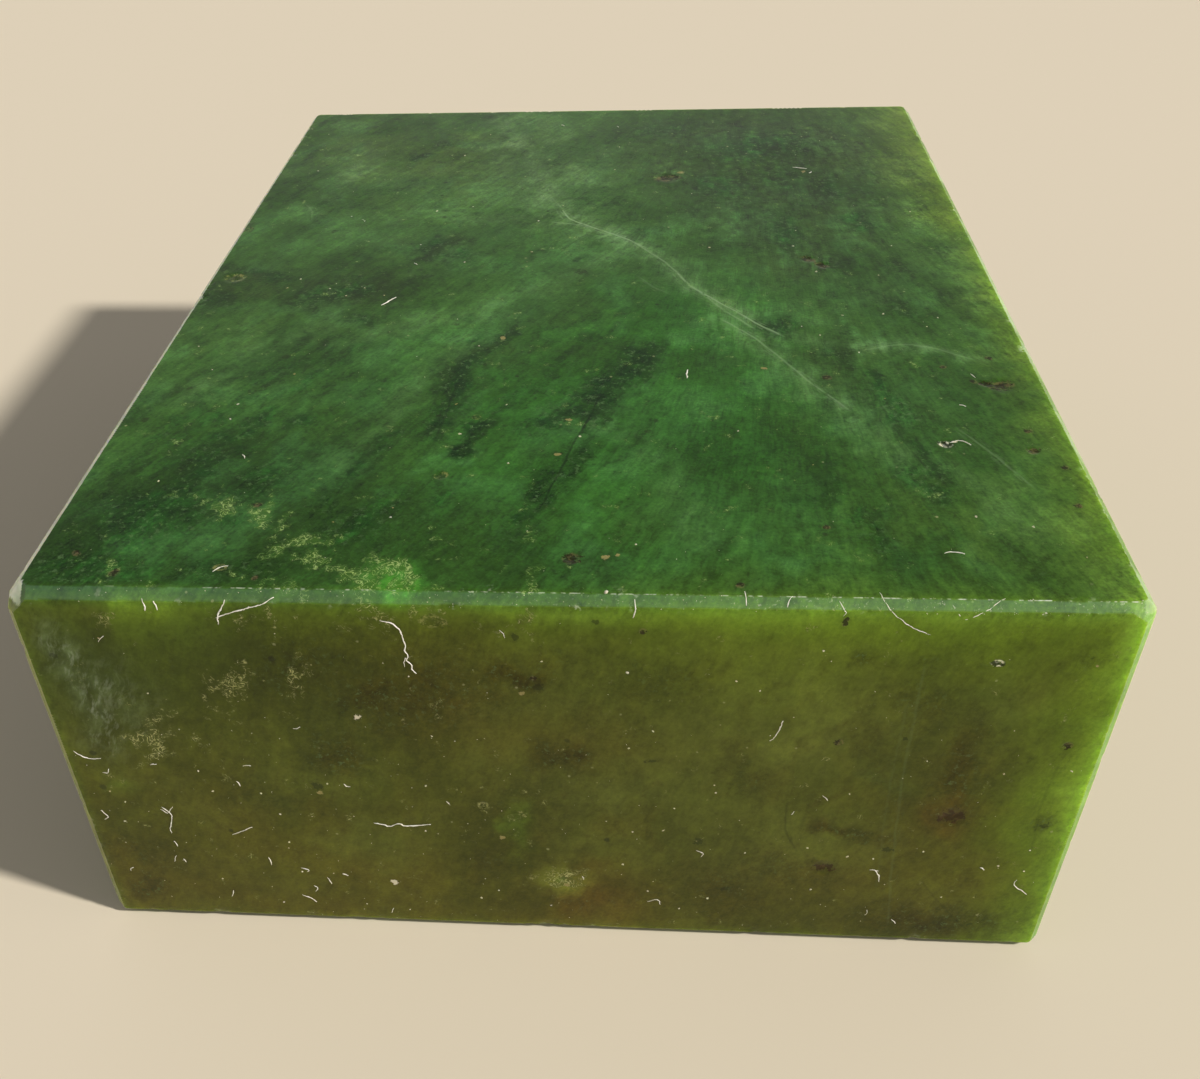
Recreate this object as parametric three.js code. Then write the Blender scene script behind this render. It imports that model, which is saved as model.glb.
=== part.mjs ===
// A sawn and honed block of nephrite jade, one solid stone.
//
// The block is a slightly out-of-square slab: six sawn faces, a hand-ground
// bevel along each of its twelve edges and a small ground facet on each of
// its eight corners. It lies on its flat sawn base.
//
// Millimetres, +Z up. X runs across the front face, Y from the front face to
// the back, Z up from the base. The finished block is placed so that the
// origin is the middle of the bottom of its bounding box.

import * as THREE from "three";
import { ConvexGeometry } from "three/addons/geometries/ConvexGeometry.js";

// ---- driving dimensions -------------------------------------------------

const WIDTH = 100; // left face to right face, along the foot of the front face
const DEPTH = 128.4; // front face to back face, on the centre line
const HEIGHT = 47.06; // base to top, at the middle of the front edge

// The saw cuts are a little out of true. Each number is millimetres of drift
// per millimetre of travel.
const TOP_RISE_RIGHT = 0.0247; // the top climbs towards the right
const TOP_FALL_BACK = 0.0015; // and falls very slightly towards the back
const FRONT_YAW = 0.001; // the front face turns away to the right
const FRONT_LEAN = 0.0022; // and overhangs its foot
const BACK_YAW = 0.0462; // the back face is further away on the right
const LEFT_YAW = 0.0041; // the left face closes in towards the back
const LEFT_LEAN = 0.0117; // and overhangs its foot
const RIGHT_YAW = 0.0005; // the right face closes in towards the back
const RIGHT_LEAN = 0.0043; // and leans in towards the top

// Leg of each ground bevel, measured on either face from the sharp edge, at
// the two ends of the edge. A pair is [first end, second end].
const BEVEL_TOP_FRONT = [1.0, 0.75]; // left end, right end
const BEVEL_TOP_BACK = [0.8, 0.8];
const BEVEL_TOP_LEFT = [1.55, 0.63]; // front end, back end
const BEVEL_TOP_RIGHT = [0.96, 0.9];
const BEVEL_BASE_FRONT = [0.89, 0.89];
const BEVEL_BASE_BACK = [0.85, 0.85];
const BEVEL_BASE_LEFT = [0.9, 0.85];
const BEVEL_BASE_RIGHT = [0.9, 0.85];
const BEVEL_UP_FRONT_LEFT = [0.94, 0.83]; // base end, top end
const BEVEL_UP_FRONT_RIGHT = [0.89, 0.89];
const BEVEL_UP_BACK_LEFT = [0.9, 0.9];
const BEVEL_UP_BACK_RIGHT = [0.95, 0.95];

// How far back from its sharp point each corner is ground, along each of the
// three edges that meet there.
const CORNER_TOP_FRONT_LEFT = 3.3; // the most rounded corner
const CORNER_TOP_FRONT_RIGHT = 2.1;
const CORNER_TOP_BACK_LEFT = 1.9;
const CORNER_TOP_BACK_RIGHT = 2.2;
const CORNER_BASE = 1.9;

// A flake knocked off the top front right corner: the lengths along X, Y and
// Z where its flat cuts the three edges.
const FLAKE_TOP_FRONT_RIGHT = [3.4, 1.7, 2.4];

const STONE_GREEN = 0x4a6b35;

// ---- the sawn faces -----------------------------------------------------

const plane = (normal, point) =>
  new THREE.Plane().setFromNormalAndCoplanarPoint(
    normal.clone().normalize(),
    point,
  );
const v = (x, y, z) => new THREE.Vector3(x, y, z);

// Every plane's normal points out of the stone.
const face = {
  base: plane(v(0, 0, -1), v(0, 0, 0)),
  top: plane(v(-TOP_RISE_RIGHT, TOP_FALL_BACK, 1), v(0, 0, HEIGHT)),
  front: plane(v(-FRONT_YAW, -1, -FRONT_LEAN), v(0, 0, 0)),
  back: plane(v(-BACK_YAW, 1, 0), v(0, DEPTH, 0)),
  left: plane(v(-1, LEFT_YAW, -LEFT_LEAN), v(-WIDTH / 2 + 0.15, 0, 0)),
  right: plane(v(1, RIGHT_YAW, RIGHT_LEAN), v(WIDTH / 2 + 0.02, 0, 0)),
};

// The point where three planes meet, or null where two are parallel.
function meet(a, b, c) {
  const bc = b.normal.clone().cross(c.normal);
  const d = a.normal.dot(bc);
  if (Math.abs(d) < 1e-9) return null;
  const ca = c.normal.clone().cross(a.normal);
  const ab = a.normal.clone().cross(b.normal);
  return bc
    .multiplyScalar(-a.constant)
    .addScaledVector(ca, -b.constant)
    .addScaledVector(ab, -c.constant)
    .divideScalar(d);
}

// ---- the bevels ---------------------------------------------------------

// A bevel between faces p and q, from the sharp corner on face `from` to the
// sharp corner on face `to`, with its leg at each end.
function bevel(p, q, from, to, [legFrom, legTo]) {
  const a = meet(p, q, from);
  const b = meet(p, q, to);
  const along = b.clone().sub(a).normalize();
  // Directions in face p and in face q, square to the edge, into the stone.
  const inP = along.clone().cross(p.normal);
  if (inP.dot(q.normal) > 0) inP.negate();
  const inQ = along.clone().cross(q.normal);
  if (inQ.dot(p.normal) > 0) inQ.negate();
  const made = new THREE.Plane().setFromCoplanarPoints(
    a.clone().addScaledVector(inP, legFrom),
    a.clone().addScaledVector(inQ, legFrom),
    b.clone().addScaledVector(inP, legTo),
  );
  if (made.distanceToPoint(a) < 0) made.negate();
  return made;
}

const f = face;
const bevels = [
  bevel(f.top, f.front, f.left, f.right, BEVEL_TOP_FRONT),
  bevel(f.top, f.back, f.left, f.right, BEVEL_TOP_BACK),
  bevel(f.top, f.left, f.front, f.back, BEVEL_TOP_LEFT),
  bevel(f.top, f.right, f.front, f.back, BEVEL_TOP_RIGHT),
  bevel(f.base, f.front, f.left, f.right, BEVEL_BASE_FRONT),
  bevel(f.base, f.back, f.left, f.right, BEVEL_BASE_BACK),
  bevel(f.base, f.left, f.front, f.back, BEVEL_BASE_LEFT),
  bevel(f.base, f.right, f.front, f.back, BEVEL_BASE_RIGHT),
  bevel(f.front, f.left, f.base, f.top, BEVEL_UP_FRONT_LEFT),
  bevel(f.front, f.right, f.base, f.top, BEVEL_UP_FRONT_RIGHT),
  bevel(f.back, f.left, f.base, f.top, BEVEL_UP_BACK_LEFT),
  bevel(f.back, f.right, f.base, f.top, BEVEL_UP_BACK_RIGHT),
];

// ---- the corners --------------------------------------------------------

// A flat across the corner of three faces. Each reach is how far along the
// edge opposite to that face the flat starts.
function corner(p, q, r, reachP, reachQ, reachR) {
  const tip = meet(p, q, r);
  const edge = (m, n, away) => {
    const d = m.normal.clone().cross(n.normal).normalize();
    return d.dot(away.normal) > 0 ? d.negate() : d;
  };
  const onQR = tip.clone().addScaledVector(edge(q, r, p), reachP);
  const onPR = tip.clone().addScaledVector(edge(p, r, q), reachQ);
  const onPQ = tip.clone().addScaledVector(edge(p, q, r), reachR);
  const made = new THREE.Plane().setFromCoplanarPoints(onQR, onPR, onPQ);
  if (made.distanceToPoint(tip) < 0) made.negate();
  return made;
}

const round = (p, q, r, reach) => corner(p, q, r, reach, reach, reach);
const corners = [
  round(f.left, f.front, f.top, CORNER_TOP_FRONT_LEFT),
  round(f.right, f.front, f.top, CORNER_TOP_FRONT_RIGHT),
  corner(f.right, f.front, f.top, ...FLAKE_TOP_FRONT_RIGHT),
  round(f.left, f.back, f.top, CORNER_TOP_BACK_LEFT),
  round(f.right, f.back, f.top, CORNER_TOP_BACK_RIGHT),
  round(f.left, f.front, f.base, CORNER_BASE),
  round(f.right, f.front, f.base, CORNER_BASE),
  round(f.left, f.back, f.base, CORNER_BASE),
  round(f.right, f.back, f.base, CORNER_BASE),
];

// ---- the solid ----------------------------------------------------------

// The block is everything inside all of the planes. Its vertices are the
// meeting points of three planes that no other plane cuts away.
const planes = [...Object.values(face), ...bevels, ...corners];
const vertices = [];
for (let i = 0; i < planes.length; i++)
  for (let j = i + 1; j < planes.length; j++)
    for (let k = j + 1; k < planes.length; k++) {
      const p = meet(planes[i], planes[j], planes[k]);
      if (!p || planes.some((w) => w.distanceToPoint(p) > 1e-4)) continue;
      if (!vertices.some((w) => w.distanceTo(p) < 1e-2)) vertices.push(p);
    }

const box = new THREE.Box3().setFromPoints(vertices);
const centre = box.getCenter(new THREE.Vector3());

const group = new THREE.Group();

const jadeBlock = new THREE.Mesh(
  new ConvexGeometry(vertices),
  new THREE.MeshStandardMaterial({
    color: STONE_GREEN,
    roughness: 0.35,
    metalness: 0,
  }),
);
jadeBlock.name = "jade_block";
jadeBlock.position.set(-centre.x, -centre.y, -box.min.z);
group.add(jadeBlock);

export default group;
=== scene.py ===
"""Looks of the sawn jade block: one dense stone mesh, and the lint and dust that lie on it.

Lengths in the working arrays are millimetres in the row frame, and metres in Blender.
"""

import math

import bpy
import numpy as np
from mathutils import Matrix, Vector


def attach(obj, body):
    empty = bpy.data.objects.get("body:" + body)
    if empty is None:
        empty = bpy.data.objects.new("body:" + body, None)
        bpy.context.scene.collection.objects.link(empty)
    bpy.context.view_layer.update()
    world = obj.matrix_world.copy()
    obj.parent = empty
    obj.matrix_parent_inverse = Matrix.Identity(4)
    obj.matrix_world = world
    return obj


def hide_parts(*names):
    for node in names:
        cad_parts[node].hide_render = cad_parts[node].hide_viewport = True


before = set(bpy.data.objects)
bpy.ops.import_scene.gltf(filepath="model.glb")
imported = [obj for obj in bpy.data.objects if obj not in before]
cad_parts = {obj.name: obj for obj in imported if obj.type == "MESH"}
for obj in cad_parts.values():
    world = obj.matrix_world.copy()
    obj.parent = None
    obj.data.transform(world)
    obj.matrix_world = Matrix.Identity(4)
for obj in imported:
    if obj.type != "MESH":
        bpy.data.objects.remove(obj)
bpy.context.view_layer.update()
scene = bpy.context.scene

# ------------------------------------------------------------------ the frame
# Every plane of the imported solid, in millimetres: normal . p = offset.
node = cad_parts["jade_block"]
raw = node.data
raw_v = np.array([v.co for v in raw.vertices], float) * 1000
planes = []
for poly in sorted(raw.polygons, key=lambda p: -p.area):
    n = np.array(poly.normal, float)
    k = float(raw_v[list(poly.vertices)].mean(0) @ n)
    for p in planes:
        if p[0] @ n > 0.9996 and abs(p[1] - float(raw_v[list(poly.vertices)].mean(0) @ p[0])) < 0.012:
            p[2] += poly.area
            break
    else:
        planes.append([n, k, poly.area])
PN = np.array([p[0] for p in planes])
PK = np.array([p[1] for p in planes])
LO = raw_v.min(0)
HI = raw_v.max(0)
# The six sawn faces: -X +X -Y +Y -Z +Z.
MAIN = [int(np.argmax(PN @ d)) for d in np.vstack([[-1, 0, 0], [1, 0, 0], [0, -1, 0], [0, 1, 0], [0, 0, -1], [0, 0, 1]]).astype(float)]
LEFT, RIGHT, FRONT, BACK, BASE, TOP = range(6)
MN, MK = PN[MAIN], PK[MAIN]


def depth_under(p):
    """Depth of each point under each of the six sawn faces, in mm."""
    return MK[None, :] - p @ MN.T


# ------------------------------------------------------------------ noise
def _hash(i, j, k, seed):
    h = (i.astype(np.uint32) * np.uint32(374761393)) ^ (j.astype(np.uint32) * np.uint32(668265263)) ^ (k.astype(np.uint32) * np.uint32(2246822519)) ^ np.uint32((seed * 3266489917) & 0xFFFFFFFF)
    h = (h ^ (h >> np.uint32(13))) * np.uint32(1274126177)
    h = (h ^ (h >> np.uint32(15))) * np.uint32(2654435761)
    return h ^ (h >> np.uint32(16))


GRADS = np.array([[1, 1, 0], [-1, 1, 0], [1, -1, 0], [-1, -1, 0], [1, 0, 1], [-1, 0, 1], [1, 0, -1], [-1, 0, -1], [0, 1, 1], [0, -1, 1], [0, 1, -1], [0, -1, -1], [1, 1, 0], [-1, 1, 0], [0, -1, 1], [0, -1, -1]], float)


def noise(p, seed=0):
    """Gradient noise at unit frequency, about -1 to 1."""
    b = np.floor(p).astype(np.int64)
    f = p - b
    w = f * f * f * (f * (f * 6 - 15) + 10)
    out = np.zeros(len(p))
    with np.errstate(over="ignore"):
        for dx in (0, 1):
            for dy in (0, 1):
                for dz in (0, 1):
                    g = GRADS[_hash(b[:, 0] + dx, b[:, 1] + dy, b[:, 2] + dz, seed) & np.uint32(15)]
                    d = (g * (f - (dx, dy, dz))).sum(1)
                    ww = (w[:, 0] if dx else 1 - w[:, 0]) * (w[:, 1] if dy else 1 - w[:, 1]) * (w[:, 2] if dz else 1 - w[:, 2])
                    out += d * ww
    return out


def fbm(p, size, octaves=4, seed=0, gain=0.5):
    """Fractal noise with features about `size` mm across."""
    out = np.zeros(len(p))
    amp, total, q = 1.0, 0.0, p / size
    for o in range(octaves):
        out += amp * noise(q + 17.3 * o, seed + 31 * o)
        total += amp
        amp *= gain
        q = q * 2.03
    return out / total


def smooth(a, b, x):
    t = np.clip((x - a) / (b - a), 0, 1)
    return t * t * (3 - 2 * t)


def flow(p):
    """Coordinates that follow the stone's fibres: across, along (stretched 7 times), across.

    On the top the fibres lean to the right going back, and to the left on the right-hand side.
    """
    x, y, z = p.T
    lean = .50 - .80 * smooth(2, 40, x)
    across = x - lean * (y + 66) - .30 * (z - 47)
    return np.stack([across, (y + .55 * z) / 7, .35 * z], 1)


def srgb(r, g, b):
    c = np.array([r, g, b], float) / 255
    return np.where(c <= 0.04045, c / 12.92, ((c + 0.055) / 1.055) ** 2.4)


# ------------------------------------------------------------------ drawn features
# Top features are (x, y); front features are (x, z). All in mm.
def stroke(x, y, pts, w0, w1=None, soft=1.0):
    """A band along a polyline: 1 on its line, 0 beyond its width, with a taper."""
    w1 = w0 if w1 is None else w1
    best = np.zeros(len(x))
    pts = np.array(pts, float)
    seg = np.hypot(*(pts[1:] - pts[:-1]).T)
    run = np.concatenate([[0], np.cumsum(seg)])
    for i in range(len(pts) - 1):
        ax, ay = pts[i]
        dx, dy = pts[i + 1] - pts[i]
        t = np.clip(((x - ax) * dx + (y - ay) * dy) / (dx * dx + dy * dy), 0, 1)
        d = np.hypot(x - ax - t * dx, y - ay - t * dy)
        s = (run[i] + t * seg[i]) / run[-1]
        w = w0 + (w1 - w0) * s
        best = np.maximum(best, np.exp(-((d / w) ** 2) * soft))
    return best


def blob(x, y, cx, cy, rx, ry=None, turn=0.0):
    """A soft ellipse, turned by degrees anticlockwise."""
    ry = rx if ry is None else ry
    c, s = math.cos(math.radians(turn)), math.sin(math.radians(turn))
    u = ((x - cx) * c + (y - cy) * s) / rx
    v = (-(x - cx) * s + (y - cy) * c) / ry
    return np.exp(-(u * u + v * v))


TOP_DARK = [  # cx, cy, rx, ry, turn, strength
    (-37.9, -42.7, 8, 4, 55, .35), (-40.4, -53.9, 7, 5, 40, .55), (-31.8, -48.5, 7, 3.5, 60, .4), (-20, -54.5, 6, 3, 60, .45),
    (-29.6, -36.7, 2.6, 2, 30, .45), (-27.2, -13.4, 2.4, 1.8, 20, .5), (-31.8, -7, 6.5, 3.2, 15, .5), (-19.5, 4.3, 5.5, 1.6, 12, .55),
    (-43.5, -1.5, 5.5, 1.5, -25, .45), (-46, -8.6, 2, 3, 0, .4), (-29.6, 40.6, 1.6, 1.2, 0, .55), (-25.4, 46.2, 3.2, 1.6, 20, .4),
    (-46.2, 42.4, 2, 3, 0, .35), (8, 53, 8, 3.5, 10, .35), (24, 45, 9, 6.5, 25, .5), (33.2, 28.4, 1.8, 6.5, 0, .45), (35, 18, 3, 2, 40, .45),
    (36.7, 14, 2.2, 1.6, 0, .4), (21.7, -15, 2.5, 2.1, 0, .62), (27.1, -53.9, 1.8, 3.6, 0, .42), (32.6, -33.5, 1.8, 5, 12, .4),
    (32.8, -48, 1.8, 5, 12, .42), (45.3, 31.7, 1.3, 4.8, 0, .5), (44.5, 6.7, 1.4, 2.2, 0, .45), (47, -8.8, 1.1, 1.3, 0, .5),
    (12, -41, 7, 9, 70, .22), (-8, -30, 4, 9, -12, .18), (14, 22, 12, 5, 35, .22), (38, 46, 6, 9, 60, .22), (2, -60, 9, 3, 5, .2),
    (-44, -62, 7, 3.5, 10, .45), (-30, -62, 8, 2.5, 10, .35), (38, -10, 5, 8, 80, .18), (-12, 33, 5, 9, -20, .16), (27, 30, 6, 9, 20, .3),
    (30, -60, 9, 3, 0, .15), (-22, -29, 3, 7, -15, .2), (-6, -57, 4, 5, 20, .25), (17, 8, 5, 3, -30, .22), (42, -44, 3, 8, 10, .18),
]
TOP_DARK += [
    (8, 53, 5, 4, 0, .3), (20, 44, 8, 5, 20, .35), (16, 29, 6, 6, 20, .4), (32.5, 28, 2.4, 5, 5, .5), (35.5, 16, 2.2, 4, 10, .5), (24.5, 13, 3, 8, 5, .5), (6, 12, 1.8, 1.8, 0, .5), (20, 20, 4, 5, 0, .3),
    (-22, 7, 5, 3, 15, .45), (-31, -6, 5, 3.5, 20, .5), (-42, -2, 4, 1.6, -20, .5), (-48, -8, 1.6, 4, 0, .45), (-28, -13.5, 2, 1.6, 0, .5), (-16, -14, 1, 1, 0, .4), (28, -22, 1.8, 3.5, 10, .45),
    (37, -10.5, 1.6, 4, 15, .45), (27, -55, 2, 4, 0, .45), (-30, -37, 1.8, 1.8, 0, .5), (30, 2, 4, 5, 0, .25), (-34, 52, 6, 2.5, 0, .2), (44, 20, 2, 6, 0, .25),
]
TOP_DARK_STROKES = [  # points, width, strength
    ([(-10, -17.5), (-12.5, -21), (-15, -27)], 1.8, .6), ([(-14.5, -27), (-14.9, -34), (-15.2, -40)], 1.1, .6), ([(2, -29), (.4, -36), (-1.4, -42), (-3.4, -50)], .9, .5), ([(-4.2, -46), (-5, -54)], 1.5, .5),
    ([(-33, -35), (-35, -40), (-38, -46)], 1.5, .5), ([(-36, -42), (-40, -50), (-43, -56)], 2.6, .5), ([(-22, -42), (-24, -52)], 1.3, .45), ([(31, -26), (32, -34), (33.5, -42), (35, -50)], 1.1, .5), ([(23.6, -42), (23.4, -52)], .8, .4),
    ([(-1, -32), (-3.5, -34.5), (-5, -38)], 2.0, .55), ([(-30, -46), (-33, -54)], 2.0, .45), ([(-12, -50), (-15, -58)], 2.0, .35),
    ([(4.8, -22), (4.2, -25), (1.9, -28.4), (0, -31.6), (-1.5, -35)], 2.5, .85),
    ([(7, -19.5), (4.8, -22), (3, -24)], 1.6, .35),
    ([(-1.5, -43.7), (-2.6, -47.6), (-3.8, -52.3)], .75, .45),
    ([(-14.9, -25), (-14, -32.5), (-15.6, -38)], 2.3, .55),
    ([(-11.1, -37), (-11.9, -39.8), (-12.6, -42.4)], 1.05, .75),
    ([(-18.8, -37.3), (-21, -44), (-23.5, -50.7)], 1.2, .38),
    ([(25.2, -39.9), (23.6, -50.7), (23.1, -55.8)], .9, .28),
    ([(-34, -27), (-38, -36), (-42, -41)], 1.8, .3),
    ([(-26, -20), (-30, -28), (-33, -33)], 1.5, .28),
    ([(9, -8), (12, -14), (13, -22)], 1.6, .25), ([(26, -20), (29, -27), (31, -34)], 1.6, .28),
    ([(16, -26), (19, -34), (20, -42)], 1.4, .22), ([(37, 3), (40, -4), (44, -9)], 1.4, .25),
    ([(28, 22), (25, 14), (26, 6)], 2, .3), ([(18, 38), (14, 30), (15, 22)], 2.2, .28),
    ([(-36, 26), (-39, 16), (-43, 8)], 1.6, .2), ([(-8, -10), (-10, -18), (-9, -26)], 1.6, .2),
    ([(40, 40), (38, 30), (39, 22)], 1.6, .3),
]
TOP_LIGHT = [  # cx, cy, rx, ry, turn, strength: clouds that are brighter and a little bluer
    (-3.8, 4.5, 6, 5, 0, .55), (-14.9, 11, 6, 4, 30, .45), (20.5, -49.5, 3.6, 6.5, 0, .45), (13, -52, 7, 6, 0, .3), (-8, -50, 5, 4, 0, .3),
    (-24, -24, 6, 4, 40, .35), (-38, -24, 5, 7, 30, .3), (-6, 24, 7, 8, -30, .35), (-32, 30, 6, 8, 60, .3), (8, -34, 5, 8, 70, .3),
    (30, -6, 7, 4, 10, .25), (10, 0, 6, 5, 0, .3), (-30, 10, 7, 4, 25, .25), (34, -30, 5, 4, 0, .3), (-12, -13, 6, 4, 30, .25),
    (-2, 44, 9, 6, 0, .2), (42, -52, 4, 5, 0, .3), (-22, 56, 10, 5, 0, .2), (-4, -40, 3, 4, 0, .35), (24, -30, 4, 5, 0, .25), (36, 56, 8, 4, 0, .2),
]
VEIN_SOFT = [([(-19, 60), (-15.5, 50), (-12.2, 42), (-11, 36), (-8.5, 27), (-5, 18)], 2.2, .95), ([(-5, 18), (-1, 13.5), (3, 10.2), (8, 3.5), (11, -3)], 2.2, .8), ([(11, -3), (16.5, -10.5), (21, -16.5)], 1.8, .7),
             ([(-14, 60), (-9, 50), (-7, 40), (-4, 30)], 4.0, .35), ([(-17, 46), (-14, 34), (-9, 22), (-3, 12)], 3.0, .45), ([(15.5, -14), (19, -19), (25, -30), (31, -42)], 2.4, .5),
             ([(22, -17), (27, -19.5), (32, -20), (38.3, -19.8), (43, -22.5)], 1.3, .5), ([(-35.7, 42), (-38, 34), (-39, 24)], 1.7, .45), ([(-7, 14.5), (-12, 16.5), (-18, 16)], 1.8, .4), ([(2, 6), (-1, 2), (-5, -4), (-12, -9)], 2.2, .35),
             ([(-24, -44), (-19, -30), (-14, -20)], 2.2, .35), ([(-44, -32), (-38, -22), (-30, -14)], 2.4, .35), ([(33, -42), (38, -47), (42, -56)], 1.6, .4), ([(-30, -20), (-20, -14), (-10, -12)], 2, .3), ([(2, -36), (8, -44), (12, -56)], 2.6, .3)]
VEIN_SHARP = [
    ([(-5.6, 19.5), (-4.5, 16.5), (-1, 13.5), (3, 10.2), (6, 7)], .8, .95), ([(5, 8), (8, 3.5), (10, -.5), (11.5, -4)], .6, .55), ([(10, -.5), (11.5, -4), (14, -7.5), (16.5, -10.5), (19, -14), (21.5, -16.8)], .7, .9),
    ([(-6.2, 15.2), (-3.5, 14.6), (-1, 13.5)], .5, .5), ([(-7.5, 24), (-5.2, 19), (-2.6, 15)], .5, .3), ([(13, -6.5), (16, -11.5), (18.5, -15)], .5, .55),
    ([(15.5, -13.8), (18.5, -17.5), (21, -22), (23.6, -27), (27.1, -33.2)], .55, .55), ([(5.6, -2.4), (7, -4.6), (8.5, -6)], .45, .32),
    ([(31.9, -20.2), (35.1, -19.3), (38.3, -19.8), (42.1, -22.2)], .5, .42), ([(-42, 20.7), (-40.4, 16.6)], .5, .35),
]
THIN_LINES = [  # face, points, width, strength (below 0 is a dark line)
    (TOP, [(1.4, -30.5), (.2, -36), (-1.2, -41), (-2.6, -47.6), (-3.8, -52.3)], .2, -.75), (TOP, [(24.2, -42), (23.8, -47), (23.5, -52)], .3, -.35), (TOP, [(-14.4, -28), (-14.8, -34), (-15.2, -40)], .2, -.5), (TOP, [(-22, -42), (-22.8, -47), (-23.6, -52)], .2, -.4),
    (TOP, [(30.6, -30), (32, -38), (34, -46)], .2, -.4), (TOP, [(38.6, -38), (41, -42.4), (43, -47)], .2, .35),
    (FRONT, [(31.2, 40), (31.6, 26), (32.8, 12), (33.6, 4)], .14, .08), (FRONT, [(30.4, 36), (30.7, 22), (31.6, 10)], .12, .05),
    (FRONT, [(21, 21.5), (21.2, 18), (22.4, 15.5)], .16, -.4), (FRONT, [(36.5, 10), (39, 6.5), (42, 3)], .14, -.3), (FRONT, [(46, 30), (45.4, 24), (46, 17)], .2, -.2),
]
LACE_TOP = [(-34, -52, 2.6, 2.2, 0, .7), (-29.5, -53, 1.8, 2, 0, .75), (-25.2, -58, 3, 2.4, 35, .85), (-18.4, -62.6, 2.6, 2.4, 25, 1.0), (-16.4, -61.4, 1.5, 1.6, 0, 1.0),
        (-3.7, -62.7, 1.1, 3.2, 0, .8), (-15.2, -62.4, 1.3, 2.0, 15, 1.15), (-27.4, -55.4, 1.8, 2.2, 20, .65), (-31.6, -51.6, 2, 1, 0, .5), (-21, -61.4, 1.6, 1.4, 0, .7), (-12.5, -57, 2.2, 1.6, 50, .35), (-36.6, -51, 1.4, .8, 0, .5), (-41, -62, 1.2, 1.8, 0, .6), (-22.5, -60.5, 2, 2, 0, .7), (-38.5, -50.5, 1.4, 1.2, 0, .4), (-26, -64, 2.5, 1.5, 0, .6),
            (-46.2, -2.6, 1.6, 1.3, 0, .6), (-31.8, -7.4, 2.2, 1.5, 15, .35), (32.5, -48, 1.5, 3, 0, .3), (-12, -64, 3, 1.4, 0, .4)]
LACE_FRONT = [(-31, 35.5, 1.9, 3.0, -28, .8), (-25.2, 36.3, 1.2, 2.6, -22, .85), (-40, 28, 2.1, 3.6, -20, .8), (-33.5, 31.8, 2.2, 1.2, 30, .35), (-45.5, 22, 1.2, 1.4, 0, .4),
              (-1, 8.7, 2.6, 2.1, 0, .95), (-5.3, 17, .9, 2.6, 0, .5), (-8.8, 20, .6, .6, 0, .8), (-28, 43.6, 2.6, 1.6, 0, .5), (-17, 44.5, 2.6, 1.8, 0, .6), (-4, 44.8, 1.4, 2.2, 0, .6),
              (-35.5, 26, 1.1, 2.6, -30, .3), (-41.5, 43, 1.6, 1.6, 0, .35), (-20, 42.6, 1.4, 1.2, 0, .35), (-26, 40.5, 1.2, .8, 0, .3)]
SNOW_FRONT = [(-46.3, 38.5, 1.3, 2.8, 8, .8), (-43.8, 35, 2.6, 1.6, -35, .5), (-44.8, 31.5, 1.0, 4.2, 12, .8), (-45, 27.6, 1.6, 2, 0, .55), (-43, 33.5, 3, 4.5, 20, .3)]
FRONT_DARK = [(-14, 35, 12, 7, 20, .35), (-6, 20, 8, 5, 15, .2), (-25, 38, 8, 4, 30, .35), (-1, 27, 3, 2.4, 0, .5), (-32, 20, 6, 5, 0, .2), (22, 12, 7, 3, -10, .3), (6, 6, 10, 3, 0, .25),
              (37, 24, 5, 8, 0, .3), (28, 30, 2, 9, 20, .22), (40, 4, 12, 3, 0, .4), (16, 9, 5, 5, 30, .3), (-45, 10, 6, 4, 0, .25), (32, 36, 4, 5, 40, .3), (8, 38, 6, 4, 10, .3), (46.5, 30, 1.2, 1.6, 0, .3),
              (25.5, 41.3, 2, 1.4, 0, .5), (-2, 40, 6, 3, 0, .25), (18, 25, 4, 2, -40, .3), (45.4, 42, 1.3, 2, -30, .4), (46.2, 20.5, .9, 1.3, 0, .6), (31.2, 41.3, 1.3, 1, 0, .4), (3, 31, 4, 6, 20, .2)]
FRONT_DARK += [(-18.5, 34.5, 4.5, 4, 0, .45), (-22.5, 26.5, 3.5, 3.2, 0, .5), (36.8, 27, 2, 8, 0, .42), (27.5, 17.6, 4, .9, -12, .6), (37.5, 3.5, 3, 2.5, 0, .5), (-45.5, 5, 2.5, 3, 0, .45), (-5, 38, 4, 1.6, 0, .55), (0, 5, 4, 3.5, 0, .3), (-8, 12, 3, 2, 30, .3)]
FRONT_GREEN = [(39, 36, 3, 4, 0, .6), (29, 26, 4, 1.4, -45, .7), (-30, 21, 3, 6, 10, .35), (15, 30, 9, 10, 0, .5), (-35, 42, 6, 3.2, 0, .5), (4, 17, 6, 8, 0, .3), (24, 18, 8, 5, -20, .3), (-22, 27, 5, 10, 0, .35), (-20, 14, 6, 4, 0, .3), (-30, 6, 7, 3, 0, .15), (36, 39, 5, 6, 0, .25)]

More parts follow.
